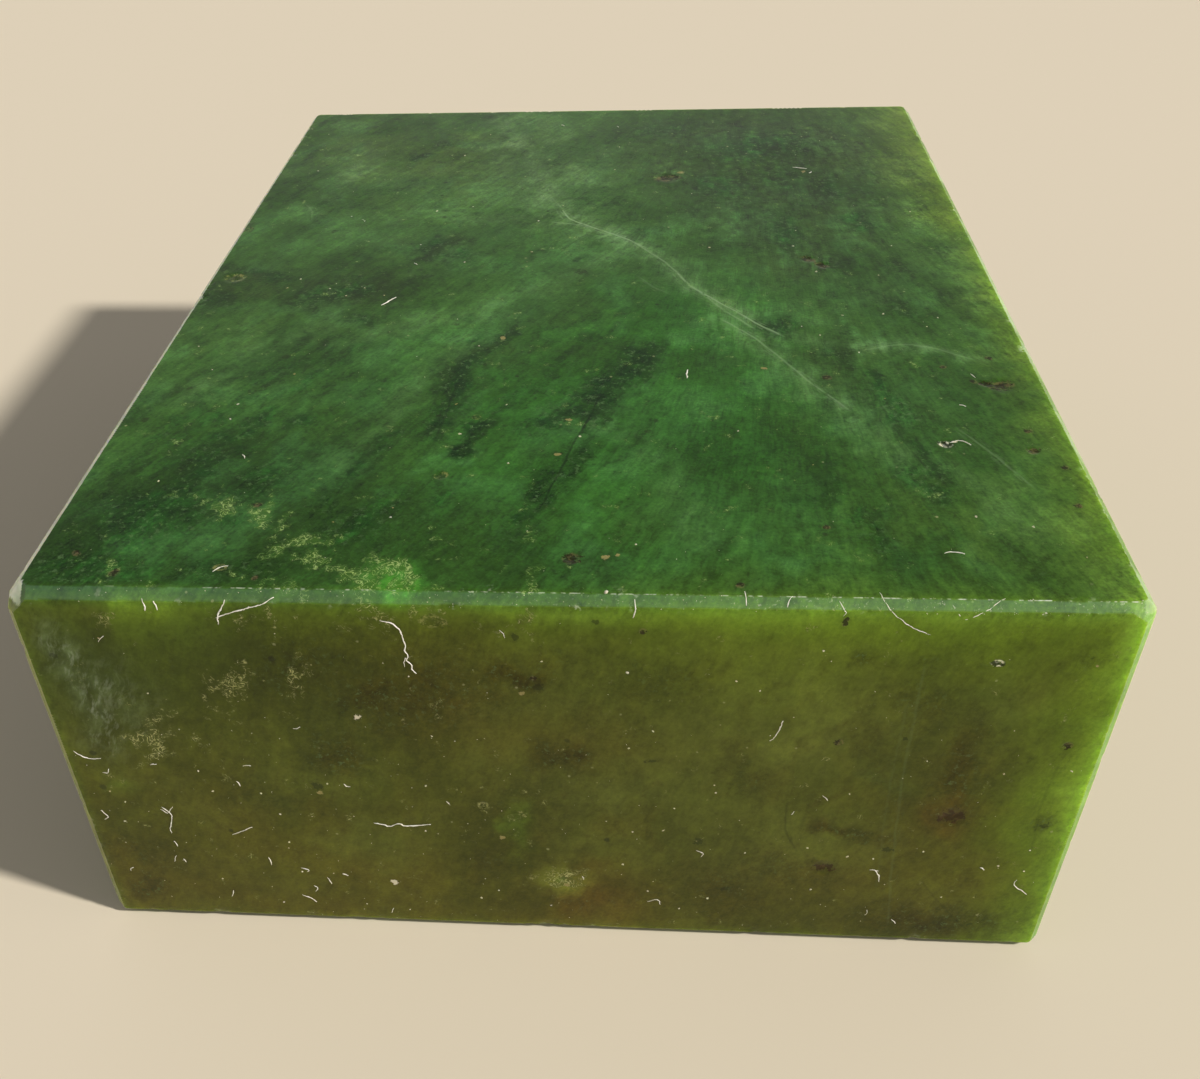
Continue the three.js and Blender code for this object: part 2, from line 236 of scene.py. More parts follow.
# Small marks with a crisp outline: x, y, r, squash, turn, kind. Kinds: w white fleck, t tan fleck,
# b brown-black inclusion, r ring (tan rim, dark centre), p pit with a pale rim that is a painted highlight, h soft dark
# dot.
TOP_SPOTS = [
    (9.2, 31.9, 1.5, .6, 20, "b"), (11.3, 34.1, .6, .7, 0, "t"), (27.1, 3.8, .9, .6, -40, "b"), (28.7, 1.9, .85, .6, -40, "b"), (44.6, -28.4, 1.25, .6, 10, "b"), (42.9, -28, .6, .7, 0, "b"), (-.4, -59.6, .75, .85, 0, "b"),
    (-30.5, -52, .42, .7, 20, "b"), (-40.7, -62.5, .5, .65, 40, "b"), (-45.1, -59.8, .42, .7, -30, "b"), (-2.2, -.3, .9, .7, 0, "h"), (25.5, 44.3, 1.3, .7, 0, "h"),
    (26, -26.9, .5, .8, 0, "b"), (41.8, -27.6, .35, 1, 0, "b"), (45.4, -37.6, .4, .9, 0, "b"), (44.9, -41.3, .55, .7, 20, "b"), (47.3, -44.3, .35, 1, 0, "b"), (46.8, -50.7, .3, 1, 0, "b"),
    (22.9, -54.5, .3, 1, 0, "b"), (14.5, -63.1, .35, 1, 0, "b"), (8.9, -41.3, .3, 1, 0, "h"), (6.4, -38.3, .35, 1, 0, "h"), (44.5, -22.3, .35, 1, 0, "b"), (39.1, -24.4, .3, 1, 0, "b"),
    (-34.7, -23.2, .35, 1, 0, "h"), (-43.5, -30.4, .35, 1, 0, "h"), (-46.4, -37, .4, 1, 0, "h"), (-16.3, -15, .3, 1, 0, "h"), (-36.3, 12, .4, 1, 0, "h"), (-22, 17, .35, 1, 0, "h"),
    (36.4, -40.2, .62, .75, -20, "p"), (-11.5, -35.8, .45, .9, 0, "r"), (-13.8, -46.7, .62, .8, 20, "r"), (-46.2, -2.6, 1.2, .8, 0, "r"), (37.4, -39.8, .25, .5, 0, "w"),
    (19.4, -25, .28, 1, 0, "t"), (-10.5, -18.3, .3, 1, 0, "t"), (-2.5, -42.7, .3, .8, 0, "t"), (-1.8, -36.2, .25, 1, 0, "t"), (2.7, -59.5, .3, 1, 0, "t"), (3.8, -59.1, .2, 1, 0, "t"), (-28, -63, .28, .7, 40, "b"),
    (-31.5, -61.6, .5, .8, 0, "r"), (29.5, 34.5, .5, .5, 60, "t"),
]
FRONT_CLUSTERS = [(37.3, 20.8, 1.2, .72, 0, "c"), (25.8, 12.3, 1.0, .5, 0, "c")]
TOP_FLECKS = [(-45.2, 50.4), (-22, 41), (-43.5, 34.4), (-19, 50.4), (-44.3, 44), (12.6, 25.8), (30.9, 62), (33.2, 47.7), (1.8, 44.8), (1.3, 35.1), (-35, 17.2), (-23.3, 19.2), (-18.4, 20.7), (-5.7, 21.2), (-8.8, 15.8), (-8.9, 5.6), (-9.3, 2.6), (-17.4, 2.3), (-48.1, 2.6), (-37.6, -3), (-38.7, -5.5), (-32.8, -4.2), (-33.3, -5.6), (-30.9, -7.6), (-29, -5.4), (-26.2, -7.4), (-30.8, -20.3), (-16.3, -13.7), (-23.9, 7.7), (-45.4, -20.9), (-13, -20.3), (24.4, -15), (26.3, -17.1), (26.3, 12.9), (14.4, 7.2), (25.5, 7.8), (38.4, 8), (41.5, 9.1), (38.4, 17.4), (42.7, 19.4), (27.7, 0), (21.2, -.7), (35.4, -1), (34.4, -11.6), (29.5, -12), (40.7, -12.5), (31.5, -14), (39, -14.8), (30.3, -21.2), (31.7, -31.3), (15.7, -38.1), (22.7, -44.2), (36.9, -52.6), (41.8, -54.1), (45.4, -58.6), (5.4, -57.5), (-42.3, -26.2), (-19.8, -22.9), (-18.2, -27.5), (-14, -33.2), (-12.9, -39.1), (-8.6, -33.2), (-37.4, -36.6), (-41.3, -48.2), (-7.4, -44.5), (-.5, -39.4), (-22.8, -54.6), (-17.6, -52.2), (-17.6, -53.7), (-4.6, -55.7), (-37.4, -33.6), (-32.8, -27.1)]
FRONT_SPOTS = [
    *FRONT_CLUSTERS, (37.5, 41.3, .45, .8, 0, "p"), (46, 31.3, .45, .8, 0, "b"), (23.5, 45.5, .3, 1.4, 0, "b"), (-12.2, 44, 1.0, .6, 0, "r"), (6.2, 43.7, .3, 1, 0, "b"),
    (-3, 36.5, .5, .8, 0, "h"), (25, 30.7, .4, .8, 0, "b"), (31.8, 15.5, .5, .7, 0, "h"), (16, 8.2, .4, .8, 0, "h"), (12.8, 15.7, .45, .9, 0, "h"), (-25, 22, .5, 1, 0, "h"), (46.5, 20, .5, .9, 0, "h"),
    (-8.8, 20, .42, .9, 0, "r"), (-24.9, 21, .3, .8, 0, "t"), (-7, 15.2, .25, 1, 0, "t"), (-20, 31.8, .35, .8, 0, "w"), (-18.7, 7.3, .45, .8, 0, "w"), (-4.6, 35.6, .25, 1, 0, "t"),
    (-.5, 7.9, .28, 1, 0, "t"), (-3.5, 37.6, .3, .7, 0, "b"), (-47, 38.4, .4, .8, 0, "h"), (7.5, 27.2, .5, .35, 10, "h"), (-5, 42.5, .45, .8, 0, "h"), (31, 31.5, .3, 1, 0, "h"), (2, 44.6, .3, 1, 0, "h"),
]
FRONT_FLECKS = [(-42.3, 40.7), (-39.3, 34), (-36.5, 23.6), (-30.8, 20.6), (-29.3, 17.6), (-35.6, 20.7), (-45.5, 15.6), (-37, 6.8), (-29, 13.2), (-28.3, 8.5), (-29.2, 12.3), (-24, 22.4), (-14.8, 15.8), (-2.7, 39.7), (-13.2, 29.6), (-14.3, 22.6), (-14.8, 37.3), (-2.2, 4.3), (-9.6, 5.2), (-7.7, 6.6), (-17.4, 2.7), (-25, 8.4), (5.4, 28.9), (7.6, 31.3), (10.1, 20.6), (13.8, 24.2), (14, 23.1), (9.2, 17.2), (18.5, 31.3), (22.1, 42.1), (14.8, 38.1), (17, 37), (5, 38.7), (26.9, 23.6), (17.6, 14.2), (23.8, 15.3), (24.9, 8.7), (33.5, 28.6), (35.4, 15.4), (41, 27.2), (43.3, 13.6), (45.9, 16.2), (46, 12.9), (46.1, 41.4), (47.2, 27.9), (28, 14.2), (30.6, 14), (6.1, 16.8), (5.3, 11.6), (11.4, 4.6), (14.3, 6.5), (8, 7.4), (-44.8, 18.6), (-46, 20.1), (-22, 3.4), (-31, 3.1), (38.5, 8.2)]

# Lint: lists of points, and a radius. Top (x, y), front (x, z).
LINT_TOP = [
    ([(-26.1, -10.2), (-25.3, -9.0), (-24.6, -8.0)], .075), ([(10.8, -25.7), (10.62, -26.5), (10.7, -27.4)], .09), ([(28, 36.2), (28.9, 36), (30, 35.6)], .08), ([(30.6, 34.6), (30.2, 33.9)], .07),
    ([(39.3, -32.5), (39.9, -32.9)], .06), ([(-34.3, -43.4), (-33.9, -44.1)], .06), ([(-7.9, 54.9), (-7.4, 54.5)], .08), ([(-23.9, 1.8), (-23.4, 1.4)], .06),
    ([(-31.9, -62.2), (-31.5, -61.7), (-30.8, -61.4)], .05), ([(36.9, -40), (37.7, -39.6), (38.5, -39.9), (38.9, -40.4)], .06),
    ([(32.9, -58.3), (33.7, -58.15), (34.7, -58.35)], .05),
]
LINT_FRONT = [
    ([(-16.9, 43.9), (-16.2, 43.75), (-15.5, 43.35), (-15.05, 42.6), (-14.85, 41.7), (-14.75, 41.0), (-14.95, 40.5), (-14.6, 39.9), (-14.75, 39.3), (-14.35, 38.7), (-14.45, 38.2), (-14.05, 37.7)], .085), ([(-20, 16.8), (-19, 16.75), (-18.2, 16.6), (-17.4, 16.95), (-16.7, 16.6), (-15.8, 16.65), (-14.2, 16.85)], .08),
    ([(19.5, 33.3), (19.4, 32.2), (19, 31.2), (18.5, 30.6)], .07), ([(-41.2, 18), (-40.5, 17), (-40.7, 16), (-41, 14.9), (-41.0, 14.0)], .06), ([(-41.4, 17.6), (-40.8, 17.1), (-40.1, 18.1)], .05),
    ([(-34.7, 14.1), (-33.6, 14.7), (-32.5, 15.4)], .065), ([(-48.2, 25.8), (-47.2, 24.9), (-45.8, 24.9)], .055), ([(31, 12.3), (31.6, 11.4), (31.7, 10.4)], .07), ([(30.5, 12.2), (31.4, 12.1)], .05),
    ([(45.6, 11.5), (45.5, 10.5), (46.5, 9.6), (47.1, 9.2)], .065), ([(26.3, 48), (27.3, 47), (28.9, 45.6), (31, 44.4)], .055), ([(32.4, 47.5), (33.6, 46.4), (35.2, 47.2), (36.9, 48.0)], .07), ([(32.2, 47.1), (33.2, 47.4)], .05),
    ([(-31.3, 43.6), (-29.5, 44.5), (-27.8, 45.2), (-25.9, 45.9)], .08), ([(-31.2, 42.9), (-30.9, 44.2), (-30.2, 45.6)], .075), ([(-31.5, 10.6), (-31.4, 9.4)], .05), ([(-28.4, 9.1), (-27.6, 8.8), (-27.8, 8.5)], .055),
    ([(-28.8, 4.5), (-28, 4.2), (-27.4, 3.4)], .06), ([(-27.3, 6.2), (-27, 5.7), (-27.3, 5.2)], .05), ([(-24, 8.4), (-23.5, 8.1)], .055), ([(-25.7, 7.6), (-25.4, 6.6)], .045),
    ([(-33, 22.3), (-32.7, 21.6)], .06), ([(-32, 24.5), (-31.2, 24.6)], .05), ([(-47.6, 17.2), (-47.1, 16.3), (-47.5, 15.8)], .055), ([(-41, 12.7), (-40.8, 11.9)], .05), ([(-40.6, 9.9), (-40.4, 9.4)], .05),
    ([(-36.2, 4.8), (-36.5, 3.8)], .055), ([(7.9, 5.6), (9, 5.8), (9.4, 5.2)], .05), ([(34, 4.2), (34.5, 3.4)], .05), ([(-37.5, 45.4), (-37.4, 44.2)], .07), ([(-36.5, 45.3), (-36.3, 44.3)], .075),
    ([(5.4, 46.9), (5.3, 45.2)], .075), ([(14.8, 47.7), (14.95, 46.8)], .055), ([(18.5, 46.8), (18.9, 47.5)], .055), ([(22.9, 47.3), (23.5, 46.6), (23.3, 46.2)], .05), ([(37, 47.8), (37.7, 47)], .045), ([(39.3, 47.8), (40, 47.3), (40.9, 47.2)], .05),
    ([(1.2, 9.5), (1.25, 8.9)], .045), ([(-6.3, 43.3), (-5.9, 42.4)], .04), ([(41.5, 13.2), (42, 12.9)], .06), ([(24.4, 23.3), (24.9, 22.6)], .05), ([(-15, 38.5), (-14.9, 39.6)], .05),
    ([(-42.5, 40.3), (-41.8, 41)], .045), ([(-12.4, 20.4), (-12.1, 20)], .04), ([(12.7, 14.3), (13.4, 13.9), (13.2, 13.3)], .04),
]

def curve_points(pts, step=.18, kinks=0.0):
    """A smooth line through the points (Catmull-Rom)."""
    p = np.array(pts, float)
    if len(p) == 2:
        p = np.array([p[0], (p[0] + p[1]) / 2 + np.array([-(p[1] - p[0])[1], (p[1] - p[0])[0]]) * .08, p[1]])
    p = np.vstack([2 * p[0] - p[1], p, 2 * p[-1] - p[-2]])
    out = []
    for i in range(1, len(p) - 2):
        count = max(2, int(np.hypot(*(p[i + 1] - p[i])) / step))
        for t in np.arange(count) / count:
            out.append(.5 * (2 * p[i] + (p[i + 1] - p[i - 1]) * t + (2 * p[i - 1] - 5 * p[i] + 4 * p[i + 1] - p[i + 2]) * t * t + (3 * p[i] - p[i - 1] - 3 * p[i + 1] + p[i + 2]) * t ** 3))
    out.append(p[-2])
    out = np.array(out)
    if not kinks:
        return out
    # Fibres are never smooth: small kinks that wander across the line.
    kink = np.cumsum(rng.normal(0, .035, out.shape), axis=0) * kinks
    kink -= np.linspace(0, 1, len(out))[:, None] * kink[-1]
    return out + kink


# ------------------------------------------------------------------ the mesh
def surface(p):
    """Box-surface points moved onto the stone, each along its own line from an inner box."""
    c = np.clip(p, LO + 7, HI - 7)
    d = p - c
    nd = d @ PN.T
    t = np.where(nd > 1e-9, (PK[None, :] - c @ PN.T) / np.where(nd > 1e-9, nd, 1), np.inf).min(1)
    return c + d * t[:, None]


def start_grid():
    """The bounding box as a coarse grid: points, triangles (newest corner first) and the box face of each."""
    counts = np.maximum(1, np.round((HI - LO) / 6.0)).astype(int)
    ticks = [np.linspace(LO[a], HI[a], counts[a] + 1) for a in range(3)]
    index, points, tris, faces = {}, [], [], []

    def vid(*ijk):
        if ijk not in index:
            index[ijk] = len(points)
            points.append([ticks[a][ijk[a]] for a in range(3)])
        return index[ijk]

    for axis in range(3):
        u, v = [a for a in range(3) if a != axis]
        for side in (0, 1):
            for i in range(counts[u]):
                for j in range(counts[v]):
                    quad = []
                    for a, b in ((0, 0), (1, 0), (1, 1), (0, 1)):
                        ijk = [0, 0, 0]
                        ijk[axis] = counts[axis] * side
                        ijk[u], ijk[v] = i + a, j + b
                        quad.append(vid(*ijk))
                    # Outward order: (u, v) is right-handed about +axis except for axis 1.
                    if (side == 1) == (axis == 1):
                        quad = quad[::-1]
                    q0, q1, q2, q3 = quad
                    if (i + j) % 2:
                        q0, q1, q2, q3 = q1, q2, q3, q0
                    tris += [(q1, q2, q0), (q3, q0, q2)]
                    faces += [axis * 2 + side] * 2
    return np.array(points), np.array(tris), np.array(faces)


def refine(pts, tris, faces, wanted, levels=14):
    """Newest-vertex bisection until each triangle's leg is at most wanted(place, face)."""
    for _ in range(levels):
        leg = np.linalg.norm(pts[tris[:, 1]] - pts[tris[:, 2]], axis=1) / math.sqrt(2)
        mark = leg > wanted(surface(pts[tris].mean(1)), faces)
        if not mark.any():
            break
        e = np.stack([tris[:, [1, 2]], tris[:, [2, 0]], tris[:, [0, 1]]], 1)
        e.sort(axis=2)
        key = e[..., 0].astype(np.int64) * len(pts) + e[..., 1]
        uniq, inv = np.unique(key.ravel(), return_inverse=True)
        inv = inv.reshape(-1, 3)
        cut = np.zeros(len(uniq), bool)
        cut[inv[mark, 0]] = True
        while True:
            need = (cut[inv[:, 1]] | cut[inv[:, 2]]) & ~cut[inv[:, 0]]
            if not need.any():
                break
            cut[inv[need, 0]] = True
        mid = np.full(len(uniq), -1)
        mid[cut] = len(pts) + np.arange(cut.sum())
        a, b = uniq[cut] // len(pts), uniq[cut] % len(pts)
        pts = np.vstack([pts, (pts[a] + pts[b]) / 2])
        p0, p1, p2 = tris.T
        m0, m1, m2 = mid[inv[:, 0]], mid[inv[:, 1]], mid[inv[:, 2]]
        keep = m0 < 0
        out, of = [tris[keep]], [faces[keep]]
        for sel, cols in (
            (~keep & (m2 < 0), (m0, p0, p1)),
            (~keep & (m2 >= 0), (m2, m0, p0)), (~keep & (m2 >= 0), (m2, p1, m0)),
            (~keep & (m1 < 0), (m0, p2, p0)),
            (~keep & (m1 >= 0), (m1, m0, p2)), (~keep & (m1 >= 0), (m1, p0, m0)),
        ):
            out.append(np.stack([c[sel] for c in cols], 1))
            of.append(faces[sel])
        tris, faces = np.vstack(out), np.concatenate(of)
    return pts, tris, faces


BASE_SIZE = np.array([1.7, 1.7, 0.62, 1.9, 3.4, 0.62])
# Leg wanted along each edge, by its two faces.
EDGE_SIZE = {(FRONT, TOP): 0.19, (LEFT, TOP): 0.27, (RIGHT, TOP): 0.3, (BACK, TOP): 0.6, (LEFT, FRONT): 0.27, (RIGHT, FRONT): 0.27,
             (LEFT, BACK): 0.75, (RIGHT, BACK): 0.75, (FRONT, BASE): 0.675, (LEFT, BASE): 0.9, (RIGHT, BASE): 0.9, (BACK, BASE): 1.05}
# Marks deep enough to be pits: face, x, other, radius, depth.
PITS = [(TOP, x, y, r * 1.25, .16) for x, y, r, s, t, k in TOP_SPOTS if k in "brp" and r > .5] + [(FRONT, x, z, r * 1.2, .14) for x, z, r, s, t, k in FRONT_SPOTS if k in "brpc" and r > .4]


def wanted(q, faces):
    h = BASE_SIZE[faces].copy()
    d = depth_under(q)
    for (a, b), s in EDGE_SIZE.items():
        near = np.maximum(d[:, a], d[:, b])
        h = np.where(near < 1.55, np.minimum(h, s), np.where(near < 2.6, np.minimum(h, s * 2), h))
    top, front = faces == TOP, faces == FRONT
    for f, x, o, r, dep in PITS:
        other = q[:, 1] if f == TOP else q[:, 2]
        dist = np.hypot(q[:, 0] - x, other - o)
        h = np.where((faces == f) & (dist < r * 1.5 + .15), np.minimum(h, max(.14, r * .24)), h)
    for pts, w, s in VEIN_SHARP[:1]:
        h = np.where(top & (stroke(q[:, 0], q[:, 1], pts, 1.2) > .3), np.minimum(h, .34), h)
    h = np.where(top & (q[:, 1] > -15) & (h > .6), .85, h)
    return h


pts, tris, tface = refine(*start_grid(), wanted)
V = surface(pts)
print("stone triangles", len(tris), "vertices", len(V))

# Snap the rows nearest to each arris onto it, so the ground edges are crisp lines.
e = np.vstack([tris[:, [0, 1]], tris[:, [1, 2]], tris[:, [2, 0]]])
elen = np.linalg.norm(V[e[:, 0]] - V[e[:, 1]], axis=1)
short = np.full(len(V), np.inf)
np.minimum.at(short, e[:, 0], elen)
np.minimum.at(short, e[:, 1], elen)
gap = PK[None, :] - V @ PN.T  # depth under every plane, main and ground
order = np.argsort(gap, axis=1)[:, :3]
near2 = np.take_along_axis(gap, order, 1)
n0, n1 = PN[order[:, 0]], PN[order[:, 1]]
line = np.cross(n0, n1)
sine2 = np.maximum((line ** 2).sum(1), 1e-9)
# Move within plane 0 towards plane 1.
dirn = n1 - (n0 * n1).sum(1, keepdims=True) * n0
dirn /= np.maximum(np.linalg.norm(dirn, axis=1, keepdims=True), 1e-9)
reach = near2[:, 1] / np.maximum((dirn * n1).sum(1), 1e-9)
snap = (reach < 0.52 * short) & (sine2 > 0.02) & (near2[:, 0] < 1e-6)
V[snap] += dirn[snap] * reach[snap, None]
np.clip(V, LO, HI, out=V)
gap = PK[None, :] - V @ PN.T

# ------------------------------------------------------------------ relief
D6 = depth_under(V)
IS_MAIN = np.zeros(len(PN), bool)
IS_MAIN[MAIN] = True
# Depth under the nearest ground plane says how far a point is from a bevel.
ground = gap[:, ~IS_MAIN]
to_bevel = ground.min(1) * 1.41  # about mm along the face
main_gap = gap[:, IS_MAIN].min(1)
on_bevel = (main_gap > 0.02).astype(float)
# Distance along the surface from the nearest arris, either side of it.
arris = np.where(on_bevel > 0, np.sort(D6, axis=1)[:, 0] * 1.41, to_bevel)
X, Y, Z = V.T
warp = np.stack([fbm(V, 9, 3, 5), fbm(V, 9, 3, 6), fbm(V, 9, 3, 7)], 1) * 4.5
wisp = np.stack([fbm(V, 2.6, 3, 15), fbm(V, 2.6, 3, 16), fbm(V, 2.6, 3, 17)], 1) * 2.4

near_edge = np.exp(-((arris / 0.34) ** 2))
busy = 1.0 * (D6[:, TOP] < 1.6) + .35 * (D6[:, TOP] >= 1.6)
chips = smooth(.14, .36, fbm(V, .9, 3, 41)) * smooth(-.1, .25, fbm(V, 7, 2, 43))
big = smooth(.27, .42, fbm(V, 2.6, 2, 47)) * np.exp(-((arris / 0.6) ** 2)) * smooth(-.05, .2, fbm(V, 14, 2, 49))
sink = near_edge * (0.085 * chips + 0.010 * (1 + fbm(V, .7, 2, 45))) + 0.11 * big
# Hand-ground bevels are a little uneven, and the honed faces very slightly wavy.
sink += on_bevel * 0.02 * (1 + fbm(V, 2.4, 3, 51))
sink += 0.014 * (1 + fbm(V, 26, 2, 53))
for f, x, o, r, dep in PITS:
    other = Y if f == TOP else Z
    dist = np.hypot(X - x, other - o) / r
    on = D6[:, f] < 0.3
    shape = np.clip(1 - dist ** 2, 0, 1) * (0.65 + 0.6 * np.clip(noise(V / 0.38, 61), -.6, 1))
    sink += on * dep * np.clip(shape, 0, 1.2)
# Inward direction: the opposite of the nearby sawn faces' normals.
w6 = np.exp(-((D6 / 0.75) ** 2))
inward = -(w6 @ MN)
inward /= np.maximum(np.linalg.norm(inward, axis=1, keepdims=True), 1e-9)
# The foot stays flat.
sink *= np.where(D6[:, BASE] < 0.02, 0.0, 1.0)
V2 = V + inward * sink[:, None]

# ------------------------------------------------------------------ the stone's colours
wt = np.exp(-((D6 / 0.9) ** 2))
wt[:, TOP] *= 2.2  # the front top bevel looks like the top
wt /= wt.sum(1, keepdims=True)
w_top, w_front = wt[:, TOP], wt[:, FRONT]
w_rest = 1 - w_top - w_front


def unit(x):
    """Noise brought to unit spread."""
    return (x - x.mean()) / (x.std() + 1e-9)


def mix(a, b, t):
    return a + (b - a) * np.clip(t, 0, 1)[:, None]


# Bands of soft variation through the whole stone, each of unit spread.
W = V + warp
cloud = unit(fbm(W, 19, 2, 71))
puff = unit(fbm(W + wisp * .5, 8.5, 3, 72))
streak = unit(fbm(flow(W + wisp * .6), 3.6, 2, 73))
ripple = unit(fbm(flow(V + wisp * .5), 1.25, 2, 75))
crumb = unit(fbm(V + wisp * .5, 1.7, 3, 76))
hair = unit(fbm(flow(V + wisp * .2), .55, 2, 78))
wisps = smooth(.5, 2.0, unit(fbm(flow(W + wisp), 2.6, 3, 77)) - .25 * cloud)
veils = smooth(.5, 2.2, unit(fbm(flow(W + wisp), 3.4, 3, 79)) + .3 * cloud)

# --- top
tx, ty = X + wisp[:, 0] * 1.3 + warp[:, 0] * .35, Y + wisp[:, 1] * 1.3 + warp[:, 1] * .35
dark = np.zeros(len(V))
for cx, cy, rx, ry, turn, s in TOP_DARK:
    dark = np.maximum(dark, s * blob(tx, ty, cx, cy, rx, ry, turn))
band = np.zeros(len(V))
for line_pts, w, s in TOP_DARK_STROKES:
    band = np.maximum(band, s * stroke(X + wisp[:, 0] * 1.0 + .5 * streak, Y + wisp[:, 1] * 1.0, line_pts, w))
band *= np.clip(.9 + .14 * crumb + .16 * unit(fbm(flow(V + wisp), 1.9, 2, 80)), .25, 1.3)
light = np.zeros(len(V))
for cx, cy, rx, ry, turn, s in TOP_LIGHT:
    light = np.maximum(light, s * blob(tx, ty, cx, cy, rx, ry, turn))
vein = np.zeros(len(V))
for line_pts, w, s in VEIN_SOFT:
    vein = np.maximum(vein, .8 * s * stroke(X + wisp[:, 0] * .7, Y + wisp[:, 1] * .7, line_pts, w))
for line_pts, w, s in VEIN_SHARP:
    vein = vein + (.2 + .08 * ripple) * s * stroke(X + wisp[:, 0] * .2, Y + wisp[:, 1] * .2, line_pts, w)
lace = np.zeros(len(V))
for cx, cy, rx, ry, turn, s in LACE_TOP:
    lace = np.maximum(lace, s * blob(X + wisp[:, 0] * .4, Y + wisp[:, 1] * .4, cx, cy, rx, ry, turn) * (w_top + w_front > .3) * (D6[:, TOP] < 3.0))
# Painted glow on the top: yellow-green light painted in along the right edge, wider at the back, and along the front
# edge, where sunlight would come through the stone.
edge_r = D6[:, RIGHT] + fbm(V, 7, 3, 83) * 4.0
back = smooth(-10, 60, Y)
glow_top = np.exp(-((np.maximum(edge_r - .4, 0) / (3.0 + 3.0 * back + 1.9 * smooth(-36, -62, Y))) ** 1.2))
glow_top = np.maximum(glow_top, .5 * np.exp(-((np.maximum(edge_r, 0) / 8) ** 2)) * back)
glow_top = np.maximum(glow_top, .42 * np.exp(-((D6[:, FRONT] / 3.4) ** 2)) * smooth(-15, 35, X))

# Wide regions of the top: greyer and browner at the back right, saturated in the middle front.
grey_brown = smooth(.12, .75, .85 * blob(tx, ty, 24, 44, 22, 26, 10) + .55 * blob(tx, ty, 30, 4, 13, 26, 12) + .45 * blob(tx, ty, -32, -4, 11, 8, 0) + .35 * blob(tx, ty, 34, -36, 7, 18, 20) + .12 * puff)
deep = smooth(.1, .8, .8 * blob(tx, ty, 4, -36, 24, 26, 20) + .5 * blob(tx, ty, 14, -12, 12, 14, 0) + .12 * puff)
olive = smooth(.1, .8, .7 * blob(tx, ty, -30, 40, 22, 22, 0) + .7 * blob(tx, ty, 36, -54, 18, 12, 0) + .4 * blob(tx, ty, -40, -20, 14, 14, 0) + .14 * puff)
murk = smooth(.1, .8, .85 * blob(tx, ty, -36, -53, 19, 12, 25) + .3 * blob(tx, ty, -10, -58, 14, 6, 0) + .35 * blob(tx, ty, 23, 46, 16, 12, 10) + .1 * puff)

TOP_MID, TOP_LITE, TOP_OLIVE = srgb(56, 92, 38), srgb(67, 112, 61), srgb(70, 96, 40)
TOP_GREY, TOP_DEEP, TOP_MURK = srgb(47, 71, 29), srgb(44, 96, 30), srgb(34, 62, 20)
TOP_DARKC, TOP_BLACK, TOP_PALE, TOP_VEIL = srgb(23, 60, 16), srgb(8, 36, 9), srgb(104, 138, 84), srgb(96, 130, 86)
# GLOW is the colour of the painted glow.
GLOW = srgb(102, 128, 44)

top_c = np.tile(TOP_MID, (len(V), 1))
top_c = mix(top_c, TOP_OLIVE, .7 * olive)
top_c = mix(top_c, TOP_DEEP, .75 * deep)
top_c = mix(top_c, TOP_GREY, .85 * grey_brown)
top_c = mix(top_c, TOP_MURK, .85 * murk)
brown = .8 * blob(tx, ty, -31, -6, 7, 4.5, 20) + .7 * blob(tx, ty, -22, 8, 7, 4, 20) + .5 * blob(tx, ty, -44, -4, 6, 6, 0) + .5 * blob(tx, ty, 27, -24, 3, 7, 10) + .5 * blob(tx, ty, -11, -19, 3, 5, -20) + .35 * blob(tx, ty, 26, 3, 5, 4, 0)
top_c = mix(top_c, srgb(57, 72, 32), np.clip(brown * (1 + .25 * crumb), 0, .9))
top_c = mix(top_c, srgb(92, 172, 60), np.clip(.95 * blob(X + .5 * wisp[:, 0], Y, -15.6, -63.4, 1.9, 2.4, 0) * (1 + .3 * crumb), 0, .9))
pale_cloud = np.maximum(1.0 * light, .42 * smooth(.1, 2.0, puff) * (1 - .5 * grey_brown))
top_c = mix(top_c, TOP_LITE, pale_cloud)
top_c = mix(top_c, TOP_LITE, .35 * veils)
top_c = mix(top_c, TOP_VEIL, np.clip(vein * (.75 + .16 * ripple + .14 * streak), 0, .7))
# Dark bands are mottled: broken by crumbs of paler stone.
dk = np.clip(np.maximum(np.maximum(dark * 1.5, band * 1.35), .38 * wisps), 0, 1)
rag = np.clip(1 + .24 * streak + .22 * crumb + .16 * ripple, .2, 1.8)
top_c = mix(top_c, TOP_DARKC, np.clip(dk * 1.15 * rag, 0, .96))
top_c = mix(top_c, TOP_BLACK, np.clip(np.maximum(band * 1.5 - .55, dk - .78) * rag, 0, .85))
top_c = mix(top_c, GLOW, glow_top * (1 - .6 * np.clip(dark * 1.6, 0, 1)))
busy_c = (.5 + 1.0 * smooth(.05, .6, dk + .3 * grey_brown) - .25 * pale_cloud) * (1 - .5 * np.clip(glow_top, 0, 1))
top_c *= np.exp((.095 * puff + .075 * cloud + busy_c * (.16 * streak + .115 * ripple + .125 * crumb + .075 * hair))[:, None] * np.array([1.15, 1.0, 1.35]))
hue = np.clip(.3 * crumb + .7 * puff, -2, 2)  # paler places are a little bluer
top_c *= np.stack([1 + .01 * hue, np.ones(len(V)), 1 + .035 * hue], 1) * np.array([1.0, 1.085, .82]) * (1 - .07 * smooth(0, 40, Y))[:, None] ** np.array([.3, 1.4, .6])

